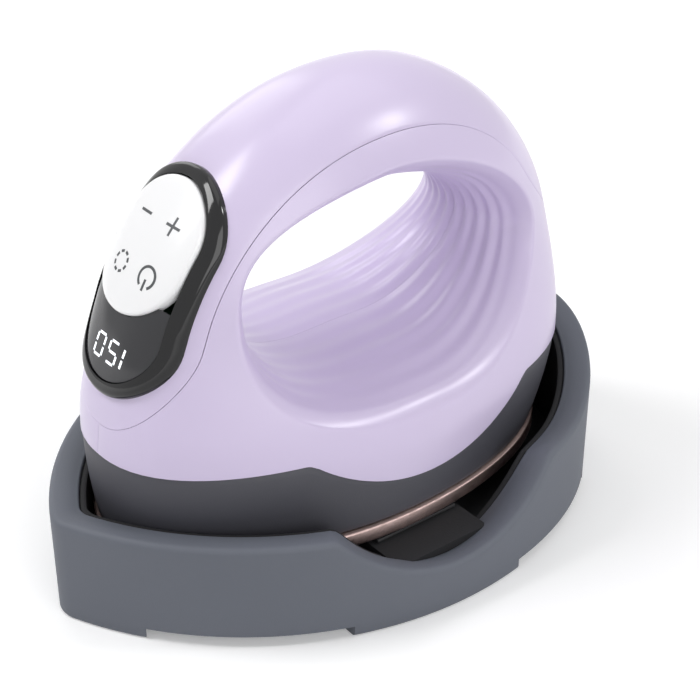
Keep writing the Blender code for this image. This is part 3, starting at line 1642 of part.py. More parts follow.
def ledge_boxes():
    """Plan corners of the four ledges, from the plate's edge to the base's wall."""
    wall_x = base_half() - BASE_RIM_WIDE - BASE_RIM_SPREAD
    inner_x = plate_side(LEDGE_UNDER_SIDE)
    nose_wall = min(y for _, y in teardrop(BASE_RIM_WIDE, BASE_NOSE_INNER))
    tail_wall = base_tail() - BASE_RIM_WIDE
    return [
        (inner_x, SIDE_LEDGE_NOSE_Y, wall_x, SIDE_LEDGE_TAIL_Y),
        (-wall_x, SIDE_LEDGE_NOSE_Y, -inner_x, SIDE_LEDGE_TAIL_Y),
        (-END_LEDGE_HALF, nose_wall, END_LEDGE_HALF, plate_nose(LEDGE_UNDER_NOSE)),
        (-END_LEDGE_HALF, plate_tail(LEDGE_UNDER_TAIL), END_LEDGE_HALF, tail_wall),
    ]


def ledge_blocks():
    """Ledges inside the base, run a little into its wall and floor."""
    bm = bmesh.new()
    for (low_x, low_y, high_x, high_y), walls in zip(ledge_boxes(), LEDGE_WALLS):
        left, front, right, back = [LEDGE_EMBED * wall for wall in walls]
        block(bm, (low_x - left, low_y - front, BASE_FLOOR_Z - LEDGE_EMBED),
              (high_x + right, high_y + back, ledge_top()))
    return hidden("ledge_blocks", bm)


def pad_boxes():
    """Plan corners of the pads, on the part of each ledge that lies under the plate."""
    edge = plate_side(0)
    nose, tail = plate_nose(0), plate_tail(0)
    margin = LINER_THICK
    side, other, front, back = ledge_boxes()
    return [
        (side[0] + margin, side[1] + margin, edge, side[3] - margin),
        (-edge, other[1] + margin, other[2] - margin, other[3] - margin),
        (front[0] + margin, nose, front[2] - margin, front[3] - margin),
        (back[0] + margin, back[1] + margin, back[2] - margin, tail),
    ]


def rest_pads():
    """Make the four heat-proof pads that the plate rests on."""
    low = ledge_top() + FIT
    names = ("right_rest_pad", "left_rest_pad", "nose_rest_pad", "tail_rest_pad")
    for name, (low_x, low_y, high_x, high_y) in zip(names, pad_boxes()):
        bm = bmesh.new()
        block(bm, (low_x, low_y, low), (high_x, high_y, low + LEDGE_PAD_THICK))
        finish_object(name, bm, PAD_BLACK, smooth=False)


def base_liner():
    """Make the black liner of the base, cut out round the ledges."""
    gap = BASE_RIM_ROUND / 4 + FIT
    floor = BASE_FLOOR_Z + FIT
    rings = [
        spread_ring(gap, lambda y, share: floor),
        spread_ring(gap, lambda y, share: rim_inner_z(y, share) - LINER_DROP),
        spread_ring(gap + LINER_THICK, lambda y, share: rim_inner_z(y, share) - LINER_DROP),
        spread_ring(gap + LINER_THICK, lambda y, share: floor + LINER_THICK),
    ]
    liner = loft("base_liner", rings, LINER_BLACK)
    bm = bmesh.new()
    for (low_x, low_y, high_x, high_y), walls in zip(ledge_boxes(), LEDGE_WALLS):
        left, front, right, back = [FIT + (LEDGE_EMBED + OVERRUN) * wall for wall in walls]
        block(bm, (low_x - left, low_y - front, floor - OVERRUN),
              (high_x + right, high_y + back, ledge_top() + FIT))
    combine(liner, hidden("liner_cutouts", bm), "DIFFERENCE")
    return liner


def build():
    """Build every piece of the press and its base."""
    clear_scene()
    base_tray()
    base_liner()
    rest_pads()
    sole_plate()
    heating_element()
    insulation_pad()
    heat_shield()
    thermal_fuse()
    temperature_sensor()
    saddle_clips()
    plate_screws()
    skirt_housing()
    skirt_screws()
    side_shell("right_shell", 1)
    side_shell("left_shell", -1)
    spine_cover()
    panel_bezel()
    keypad()
    display_window()
    control_board()
    display_module()
    tact_switches()
    display_ribbon()
    power_board()
    board_standoffs()
    board_screws()
    board_parts()
    heater_leads()
    cord_gland()


build()
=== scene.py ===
"""Looks of a mini handheld heat press that stands in its safety base.

Metres, +Z up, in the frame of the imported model. The nose with the control panel points
along -Y, the tail with the cord gland along +Y, and x = 0 is the mirror plane. The body is
one smooth form, and the side shells, spine cover, skirt, plate and panel are all cut from it.
"""
import json
import logging
import math
from collections.abc import Callable, Iterable
from dataclasses import dataclass, field
from enum import Enum

import bmesh
import bpy
from mathutils import Matrix, Vector


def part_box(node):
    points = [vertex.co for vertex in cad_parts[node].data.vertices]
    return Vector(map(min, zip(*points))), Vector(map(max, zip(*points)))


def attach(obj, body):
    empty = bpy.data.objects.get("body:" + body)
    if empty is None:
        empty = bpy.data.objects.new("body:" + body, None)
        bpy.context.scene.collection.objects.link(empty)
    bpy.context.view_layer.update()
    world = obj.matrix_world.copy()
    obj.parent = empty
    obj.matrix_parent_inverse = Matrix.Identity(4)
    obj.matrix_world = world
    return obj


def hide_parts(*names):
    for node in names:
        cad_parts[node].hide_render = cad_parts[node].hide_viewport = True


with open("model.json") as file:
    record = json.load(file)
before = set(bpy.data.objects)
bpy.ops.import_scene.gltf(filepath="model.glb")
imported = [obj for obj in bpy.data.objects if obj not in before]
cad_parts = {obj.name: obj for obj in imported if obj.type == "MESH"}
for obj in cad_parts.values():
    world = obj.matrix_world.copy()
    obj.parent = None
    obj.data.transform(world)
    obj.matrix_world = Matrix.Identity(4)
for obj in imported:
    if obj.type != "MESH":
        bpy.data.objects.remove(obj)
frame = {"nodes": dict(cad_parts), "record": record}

WELD = 0.000002
PROBE = 0.0002
SEARCHES = 32
OVERRUN = 0.003
FIT = 0.0003
SMOOTH_DEG = 40.0
PHOTO_PIXELS = 700
SENSOR_MM = 36.0
COAT_ROUGHNESS = 0.20
SEAT_LIFT = 0.00004
SCREWS = 4

Ring = list[Vector]
Outline = list[tuple[float, float]]
Socket = bpy.types.NodeSocket
Tree = bpy.types.NodeTree

log = logging.getLogger("heat_press")


class Body(Enum):
    """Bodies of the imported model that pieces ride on."""

    PRESS = "press"
    BASE = "safety_base"
    KEYPAD = "keypad_body"


class Grain(Enum):
    """Surface patterns, each one shader node group."""

    MOULDED = "moulded_grain"
    BRUSHED = "brushed_lines"
    FIBROUS = "fibre_mat"
    SPECKLED = "fine_speckle"


class Join(Enum):
    """Boolean operations between a piece and a helper shape."""

    FUSE = "UNION"
    CUT = "DIFFERENCE"


def mix(low: float, high: float, share: float) -> float:
    """Returns the value at a straight share of the way from low to high."""
    return low + (high - low) * share


def level_blend(low: float, high: float, share: float) -> float:
    """Returns the value at a share of the way, level at both ends."""
    share = min(max(share, 0.0), 1.0)
    return low + (high - low) * share * share * (3 - 2 * share)


def soft_min(first: float, second: float, width: float) -> float:
    """Finds the lower of two heights, rounded where they meet.

    Args:
        first: One height.
        second: The other height.
        width: Height difference at which the rounding ends.

    Returns:
        The blended height.
    """
    apart = (first - second) / width
    if abs(apart) >= 1:
        return min(first, second)
    return (first + second) / 2 - width * (1 + apart * apart) / 4


def curve_point(start: Vector, bend: Vector, end: Vector, share: float) -> Vector:
    """Returns the point at a share of a curve that leaves and arrives towards its bend."""
    return start.lerp(bend, share).lerp(bend.lerp(end, share), share)


def quarter(steps: int, first: int = 0) -> list[float]:
    """Returns the angles of a quarter turn, from one of its steps to the last."""
    return [math.pi / 2 * step / steps for step in range(first, steps + 1)]


def last_true(test: Callable[[float], bool], start: float, end: float) -> float:
    """Finds where a test stops holding.

    Args:
        test: True near start and false near end.
        start: Value where the test holds.
        end: Value where it no longer does.

    Returns:
        The greatest value that still passes.
    """
    for _ in range(SEARCHES):
        middle = (start + end) / 2
        if test(middle):
            start = middle
        else:
            end = middle
    return start


# Shader node groups and finishes


def math_node(tree: Tree, operation: str, first: Socket, second: Socket | float) -> Socket:
    """Adds a math node.

    Args:
        tree: The tree that takes it.
        operation: Its operation.
        first: Its first value.
        second: Its second value, a socket or a constant.

    Returns:
        The node's output.
    """
    node = tree.nodes.new("ShaderNodeMath")
    node.operation = operation
    tree.links.new(first, node.inputs[0])
    if isinstance(second, float):
        node.inputs[1].default_value = second
    else:
        tree.links.new(second, node.inputs[1])
    return node.outputs[0]


def map_range(tree: Tree, value: Socket, limits: dict[str, float],
              shape: str = "LINEAR") -> Socket:
    """Adds a map range node.

    Args:
        tree: The tree that takes it.
        value: The value to map.
        limits: The inputs that differ from 0 to 1.
        shape: How it passes from one end to the other.

    Returns:
        The node's output.
    """
    node = tree.nodes.new("ShaderNodeMapRange")
    node.interpolation_type = shape
    for name, limit in limits.items():
        node.inputs[name].default_value = limit
    tree.links.new(value, node.inputs["Value"])
    return node.outputs["Result"]


class GrainGroups:
    """Builds each surface pattern once, as a node group with the same sockets."""

    def __init__(self) -> None:
        """Starts with no groups made."""
        self.made: dict[Grain, Tree] = {}

    def get(self, grain: Grain) -> Tree:
        """Finds the group of a pattern, made on first use.

        Args:
            grain: Which pattern.

        Returns:
            The group.
        """
        if grain not in self.made:
            self.made[grain] = self._build(grain)
        return self.made[grain]

    def _build(self, grain: Grain) -> Tree:
        """Makes one group.

        Args:
            grain: Which pattern.

        Returns:
            A group that turns a place into a fine height and a broad drift, both 0 to 1.
        """
        tree = bpy.data.node_groups.new(grain.value, "ShaderNodeTree")
        for name, way, kind in (("Place", "INPUT", "Vector"), ("Scale", "INPUT", "Float"),
                                ("Height", "OUTPUT", "Float"), ("Drift", "OUTPUT", "Float")):
            tree.interface.new_socket(name, in_out=way, socket_type="NodeSocket" + kind)
        source = tree.nodes.new("NodeGroupInput")
        target = tree.nodes.new("NodeGroupOutput")
        place, scale = source.outputs["Place"], source.outputs["Scale"]
        maker = {
            Grain.MOULDED: self._moulded,
            Grain.BRUSHED: self._brushed,
            Grain.FIBROUS: self._fibrous,
            Grain.SPECKLED: self._speckled,
        }[grain]
        height, drift = maker(tree, place, scale)
        tree.links.new(height, target.inputs["Height"])
        tree.links.new(drift, target.inputs["Drift"])
        return tree

    @staticmethod
    def _noise(tree: Tree, place: Socket, scale: Socket, share: float, detail: float) -> Socket:
        """Adds a noise pattern.

        Args:
            tree: The group's tree.
            place: Socket with the place.
            scale: Socket with the group's scale.
            share: Scale of this noise as a share of the group's.
            detail: Octaves of the noise.

        Returns:
            The noise's value socket.
        """
        noise = tree.nodes.new("ShaderNodeTexNoise")
        noise.inputs["Detail"].default_value = detail
        tree.links.new(place, noise.inputs["Vector"])
        tree.links.new(math_node(tree, "MULTIPLY", scale, share), noise.inputs["Scale"])
        return noise.outputs["Fac"]

    @staticmethod
    def _stretch(tree: Tree, place: Socket, scale: tuple[float, float, float]) -> Socket:
        """Adds a mapping that stretches the place, and returns its output.

        Args:
            tree: The group's tree.
            place: Socket with the place.
            scale: Scale along each axis.

        Returns:
            The stretched place.
        """
        mapping = tree.nodes.new("ShaderNodeMapping")
        mapping.inputs["Scale"].default_value = scale
        tree.links.new(place, mapping.inputs["Vector"])
        return mapping.outputs["Vector"]

    @staticmethod
    def _clear(tree: Tree, value: Socket, low: float, high: float) -> Socket:
        """Widens a band of values to 0 to 1, and returns the new value's socket."""
        return map_range(tree, value, {"From Min": low, "From Max": high}, "SMOOTHERSTEP")

    def _moulded(self, tree: Tree, place: Socket, scale: Socket) -> tuple[Socket, Socket]:
        """Fine spark-eroded grain of moulded plastic, with a broad drift of tone.

        Args:
            tree: The group's tree.
            place: Socket with the place.
            scale: Socket with the group's scale.

        Returns:
            Sockets with the fine height and the broad drift.
        """
        fine = self._noise(tree, place, scale, 1.0, 2.0)
        broad = self._noise(tree, place, scale, 0.005, 1.0)
        return fine, self._clear(tree, broad, 0.1, 0.9)

    def _brushed(self, tree: Tree, place: Socket, scale: Socket) -> tuple[Socket, Socket]:
        """Long fine lines along X, with lighter and darker bands.

        Args:
            tree: The group's tree.
            place: Socket with the place.
            scale: Socket with the group's scale.

        Returns:
            Sockets with the fine height and the broad drift.
        """
        lines = self._noise(tree, self._stretch(tree, place, (0.03, 1.0, 1.0)), scale, 1.0, 3.0)
        bands = self._noise(tree, self._stretch(tree, place, (0.1, 1.0, 1.0)), scale, 0.15, 2.0)
        return lines, self._clear(tree, bands, 0.35, 0.65)

    def _fibrous(self, tree: Tree, place: Socket, scale: Socket) -> tuple[Socket, Socket]:
        """Short crossed fibres of a pressed ceramic mat.

        Args:
            tree: The group's tree.
            place: Socket with the place.
            scale: Socket with the group's scale.

        Returns:
            Sockets with the fine height and the broad drift.
        """
        along = self._noise(tree, self._stretch(tree, place, (0.12, 1.0, 1.0)), scale, 1.0, 3.0)
        across = self._noise(tree, self._stretch(tree, place, (1.0, 0.12, 1.0)), scale, 0.8, 3.0)
        return math_node(tree, "MAXIMUM", along, across), self._clear(tree, across, 0.4, 0.65)

    def _speckled(self, tree: Tree, place: Socket, scale: Socket) -> tuple[Socket, Socket]:
        """Small round specks, as in solder mask and filled plastics.

        Args:
            tree: The group's tree.
            place: Socket with the place.
            scale: Socket with the group's scale.

        Returns:
            Sockets with the fine height and the broad drift.
        """
        cells = tree.nodes.new("ShaderNodeTexVoronoi")
        tree.links.new(place, cells.inputs["Vector"])
        tree.links.new(scale, cells.inputs["Scale"])
        fine = self._noise(tree, place, scale, 0.5, 2.0)
        return fine, self._clear(tree, cells.outputs["Distance"], 0.15, 0.6)


GROUPS = GrainGroups()


@dataclass(frozen=True)
class Finish:
    """One finish: its colours, gloss and grain.

    Attributes:
        slot: The record's material slot, also the material's name.
        colour: Linear base colour.
        deep: Colour where the drift is high.
        roughness: Roughness where the drift is low.
        rough_drift: Roughness added where the drift is high.
        grain: Surface pattern.
        scale: Grains to the metre.
        relief: Depth of the grain in metres.
        metallic: 1 for metal.
        coat: Weight of the clear coat.
        specular: Specular level.
        glow: Strength of emitted light.
    """

    slot: str
    colour: tuple[float, float, float]
    deep: tuple[float, float, float]
    roughness: float
    rough_drift: float
    grain: Grain
    scale: float
    relief: float
    metallic: float = 0.0
    coat: float = 0.0
    specular: float = 0.5
    glow: float = 0.0

    def material(self) -> bpy.types.Material:
        """Returns the finish's material, made once."""
        found = bpy.data.materials.get("press_" + self.slot)
        return found or self._build()

    def _build(self) -> bpy.types.Material:
        """Makes the material: grain group, colour mix, roughness range and bump."""
        made = bpy.data.materials.new("press_" + self.slot)
        made.use_nodes = True
        tree = made.node_tree
        shader = tree.nodes["Principled BSDF"]
        shader.inputs["Metallic"].default_value = self.metallic
        shader.inputs["Coat Weight"].default_value = self.coat
        shader.inputs["Coat Roughness"].default_value = COAT_ROUGHNESS
        shader.inputs["Specular IOR Level"].default_value = self.specular
        place = tree.nodes.new("ShaderNodeTexCoord")
        grain = tree.nodes.new("ShaderNodeGroup")
        grain.node_tree = GROUPS.get(self.grain)
        grain.inputs["Scale"].default_value = self.scale
        tree.links.new(place.outputs["Object"], grain.inputs["Place"])
        drift = grain.outputs["Drift"]
        tint = tree.nodes.new("ShaderNodeMix")
        tint.data_type = "RGBA"
        tint.inputs["A"].default_value = (*self.colour, 1.0)
        tint.inputs["B"].default_value = (*self.deep, 1.0)
        tree.links.new(drift, tint.inputs["Factor"])
        tree.links.new(tint.outputs["Result"], shader.inputs["Base Color"])
        gloss = map_range(tree, drift, {"To Min": self.roughness,
                                        "To Max": self.roughness + self.rough_drift})
        tree.links.new(gloss, shader.inputs["Roughness"])
        bump = tree.nodes.new("ShaderNodeBump")
        bump.inputs["Distance"].default_value = self.relief
        tree.links.new(grain.outputs["Height"], bump.inputs["Height"])
        tree.links.new(bump.outputs["Normal"], shader.inputs["Normal"])
        if self.glow:
            tree.links.new(tint.outputs["Result"], shader.inputs["Emission Color"])
            shader.inputs["Emission Strength"].default_value = self.glow
        return made


LILAC = Finish("lilac_plastic", (0.655, 0.572, 0.775), (0.640, 0.557, 0.762), 0.27, 0.05,
               Grain.MOULDED, 2600, 0.000004, coat=0.20)
BASE_GREY = Finish("base_grey", (0.120, 0.131, 0.158), (0.110, 0.120, 0.146), 0.56, 0.08,
                   Grain.MOULDED, 3200, 0.000030)
SKIRT_GREY = Finish("skirt_grey", (0.066, 0.066, 0.080), (0.058, 0.058, 0.071), 0.50, 0.08,
                    Grain.MOULDED, 3000, 0.000020)
# Black of the base's liner, partly painted deep shade inside the tray; on the rest ledges it is
# painted shade.
LINER_AND_SHADE_BLACK = Finish("liner_black", (0.018, 0.018, 0.020), (0.014, 0.014, 0.016), 0.70, 0.10,
                     Grain.MOULDED, 2400, 0.000030, specular=0.3)
SILICONE = Finish("silicone_black", (0.022, 0.022, 0.024), (0.016, 0.016, 0.018), 0.62, 0.12,
                  Grain.MOULDED, 2600, 0.000020)
ROSE_METAL = Finish("rose_gold", (0.46, 0.345, 0.325), (0.40, 0.30, 0.28), 0.38, 0.10,
                    Grain.BRUSHED, 5200, 0.000006, metallic=1.0)
GLOSS_BLACK = Finish("gloss_black", (0.004, 0.004, 0.005), (0.003, 0.003, 0.004), 0.07, 0.03,
                     Grain.MOULDED, 900, 0.0000004, specular=0.45)
WINDOW_SMOKE = Finish("window_smoke", (0.038, 0.038, 0.042), (0.034, 0.034, 0.038), 0.09, 0.03,
                      Grain.MOULDED, 900, 0.0000004, specular=0.35)
KEY_WHITE = Finish("key_white", (0.93, 0.93, 0.94), (0.91, 0.91, 0.925), 0.22, 0.05,
                   Grain.MOULDED, 2600, 0.000002, coat=0.2)
STEEL = Finish("bright_steel", (0.56, 0.56, 0.57), (0.47, 0.47, 0.48), 0.26, 0.14,
               Grain.BRUSHED, 5200, 0.000008, metallic=1.0)
TUBE_STEEL = Finish("element_steel", (0.36, 0.33, 0.30), (0.27, 0.24, 0.22), 0.36, 0.16,
                    Grain.SPECKLED, 2200, 0.000010, metallic=1.0)
FIBRE = Finish("ceramic_fibre", (0.80, 0.78, 0.72), (0.70, 0.68, 0.61), 0.90, 0.08,
               Grain.FIBROUS, 2600, 0.000120)
BOARD_GREEN = Finish("board_green", (0.030, 0.200, 0.080), (0.022, 0.155, 0.060), 0.38, 0.12,
                     Grain.SPECKLED, 1500, 0.000010)
CHIP_BLACK = Finish("chip_black", (0.030, 0.030, 0.032), (0.022, 0.022, 0.024), 0.46, 0.12,
                    Grain.MOULDED, 3600, 0.000016)
CAP_BLUE = Finish("capacitor_blue", (0.050, 0.150, 0.450), (0.040, 0.120, 0.380), 0.32, 0.10,
                  Grain.MOULDED, 1200, 0.000010)
FUSE_BODY = Finish("fuse_body", (0.70, 0.72, 0.70), (0.62, 0.64, 0.62), 0.18, 0.10,
                   Grain.SPECKLED, 1800, 0.000004)
LEAD_WHITE = Finish("lead_white", (0.80, 0.80, 0.78), (0.70, 0.70, 0.67), 0.55, 0.12,
                    Grain.FIBROUS, 5200, 0.000050)
TERMINAL = Finish("terminal_grey", (0.55, 0.58, 0.55), (0.49, 0.52, 0.49), 0.46, 0.10,
                  Grain.SPECKLED, 2600, 0.000010)
MARK_GREY = Finish("key_mark", (0.075, 0.080, 0.085), (0.065, 0.070, 0.075), 0.40, 0.08,
                   Grain.SPECKLED, 3000, 0.000002)
DIGIT_WHITE = Finish("lit_digits", (0.95, 0.97, 1.0), (0.88, 0.91, 0.96), 0.40, 0.05,
                     Grain.SPECKLED, 3000, 0.000002, glow=1.0)

CAD_FINISHES = (SILICONE, STEEL, TUBE_STEEL, FIBRE, BOARD_GREEN, CHIP_BLACK, CAP_BLUE, FUSE_BODY,
                LEAD_WHITE, TERMINAL, ROSE_METAL, LINER_AND_SHADE_BLACK, BASE_GREY, SKIRT_GREY)


# Mesh helpers


def skin(bm: bmesh.types.BMesh, rings: list[Ring], wrap: bool = False) -> None:
    """Lays a grid through closed rings.

    Args:
        bm: The bmesh that takes the surface.
        rings: Rings of equal counts, each closed on itself.
        wrap: Whether the last ring meets the first; otherwise both ends are capped.
    """
    count = len(rings[0])
    rows = rings + [rings[0]] if wrap else rings
    last = len(rows) - 1
    made = bmesh.ops.create_grid(bm, x_segments=count, y_segments=last, size=1.0)
    for vert in made["verts"]:
        column = round((vert.co.x + 1.0) / 2 * count) % count
        row = round((vert.co.y + 1.0) / 2 * last)
        vert.co = rows[row][column]
    bmesh.ops.remove_doubles(bm, verts=made["verts"], dist=WELD)
    if not wrap:
        edges = [edge for edge in bm.edges if edge.is_boundary]
        bmesh.ops.holes_fill(bm, edges=edges, sides=0)


def add_box(bm: bmesh.types.BMesh, low: Iterable[float], high: Iterable[float]) -> None:
    """Adds a box between two corners.

    Args:
        bm: The bmesh that takes it.
        low: Its lowest corner.
        high: Its highest corner.
    """
    low, high = Vector(low), Vector(high)
    place = Matrix.Translation((low + high) / 2) @ Matrix.Diagonal((*(high - low), 1.0))
    bmesh.ops.create_cube(bm, size=1.0, matrix=place)


def add_rod(bm: bmesh.types.BMesh, start: Iterable[float], end: Iterable[float],
            radius: float, sides: int = 40) -> None:
    """Adds a closed round bar from start to end.

    Args:
        bm: The bmesh that takes it.
        start: Middle of its first end.
        end: Middle of its other end.
        radius: Its radius.
        sides: Its number of sides.
    """
    start, end = Vector(start), Vector(end)
    axis = end - start
    turn = Vector((0, 0, 1)).rotation_difference(axis.normalized()).to_matrix().to_4x4()
    place = Matrix.Translation((start + end) / 2) @ turn
    bmesh.ops.create_cone(bm, cap_ends=True, segments=sides, radius1=radius, radius2=radius,
                          depth=axis.length, matrix=place)


def soften(bm: bmesh.types.BMesh, width: float, segments: int = 3) -> None:
    """Rounds all sharp edges of a bmesh.

    Args:
        bm: The bmesh to change.
        width: Width of the rounding.
        segments: Faces across it.
    """
    limit = math.radians(SMOOTH_DEG)
    edges = [edge for edge in bm.edges if edge.calc_face_angle(0.0) > limit]
    bmesh.ops.bevel(bm, geom=edges, offset=width, segments=segments, profile=0.5,
                    affect="EDGES", material=-1, clamp_overlap=True)


def mirrored(half: Ring) -> Ring:
    """Closes a half ring that runs from nose to tail with its mirror image."""
    return half + [Vector((-spot.x, spot.y, spot.z)) for spot in reversed(half[1:-1])]


def shade(mesh: bpy.types.Mesh) -> None:
    """Shades a mesh smooth, apart from its sharp edges."""
    mesh.shade_smooth()
    mesh.set_sharp_from_angle(angle=math.radians(SMOOTH_DEG))


def place_object(name: str, data: bpy.types.ID) -> bpy.types.Object:
    """Makes an object of a mesh, light or camera and links it to the scene.

    Args:
        name: The object's name.
        data: Its mesh, light or camera.

    Returns:
        The object.
    """
    made = bpy.data.objects.new(name, data)
    bpy.context.scene.collection.objects.link(made)
    return made


def make_piece(name: str, bm: bmesh.types.BMesh, finish: Finish, body: Body,
               replaced: tuple[str, ...] = ()) -> bpy.types.Object:
    """Turns a bmesh into a piece of the object.

    Args:
        name: The piece's name.
        bm: Its shape in the model's frame.
        finish: Its finish.
        body: The body that it rides on.
        replaced: CAD nodes that it stands for.

    Returns:
        The piece.
    """
    bmesh.ops.remove_doubles(bm, verts=bm.verts, dist=WELD)
    bmesh.ops.dissolve_degenerate(bm, edges=bm.edges, dist=WELD)
    bmesh.ops.recalc_face_normals(bm, faces=bm.faces)
    mesh = bpy.data.meshes.new(name)
    bm.to_mesh(mesh)
    bm.free()
    shade(mesh)
    piece = place_object(name, mesh)
    mesh.materials.append(finish.material())
    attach(piece, body.value)
    if replaced:
        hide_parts(*replaced)
    log.info("%s: %d faces on %s", name, len(mesh.polygons), body.value)
    return piece


def ring_piece(name: str, rings: list[Ring], finish: Finish, body: Body, node: str,
               wrap: bool = False) -> bpy.types.Object:
    """Makes a piece from closed rings, in place of one CAD node.

    Args:
        name: The piece's name.
        rings: Rings of equal counts.
        finish: Its finish.
        body: The body that it rides on.
        node: CAD node that it stands for.
        wrap: Whether the last ring meets the first.

    Returns:
        The piece.
    """
    bm = bmesh.new()
    skin(bm, rings, wrap)
    return make_piece(name, bm, finish, body, (node,))


def node_middle(node: str) -> Vector:
    """Returns the middle of a CAD node's box."""
    low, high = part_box(node)
    return (low + high) / 2


def screw_rods(kind: str, low: float, high: float, radius: float,
               sides: int = 40) -> bmesh.types.BMesh:
    """Makes upright bars on the axes of one kind of screw.

    Args:
        kind: What the screws' node names start with.
        low: Height where the bars start.
        high: Height where they end.
        radius: Their radius.
        sides: Their number of sides.

    Returns:
        The bars' bmesh.
    """
    bm = bmesh.new()
    for index in range(1, SCREWS + 1):
        spot = node_middle(f"{kind}_{index}")
        add_rod(bm, (spot.x, spot.y, low), (spot.x, spot.y, high), radius, sides)
    return bm


def join(piece: bpy.types.Object, helper: bmesh.types.BMesh, how: Join) -> None:
    """Cuts a helper shape out of a piece, or fuses it on, for good.

    Args:
        piece: The piece to change.
        helper: The helper shape, which is used up.
        how: Cut or fuse.
    """
    bmesh.ops.recalc_face_normals(helper, faces=helper.faces)
    mesh = bpy.data.meshes.new(piece.name + "_helper")
    helper.to_mesh(mesh)
    helper.free()
    tool = place_object(mesh.name, mesh)
    step = piece.modifiers.new("join", "BOOLEAN")
    step.operation = how.value
    step.solver = "EXACT"
    step.object = tool
    graph = bpy.context.evaluated_depsgraph_get()
    made = bpy.data.meshes.new_from_object(piece.evaluated_get(graph))
    piece.modifiers.clear()
    material = piece.data.materials[0]
    piece.data = made
    made.materials.clear()
    made.materials.append(material)
    shade(made)
    bpy.data.objects.remove(tool, do_unlink=True)


# The form that all pieces of the press follow


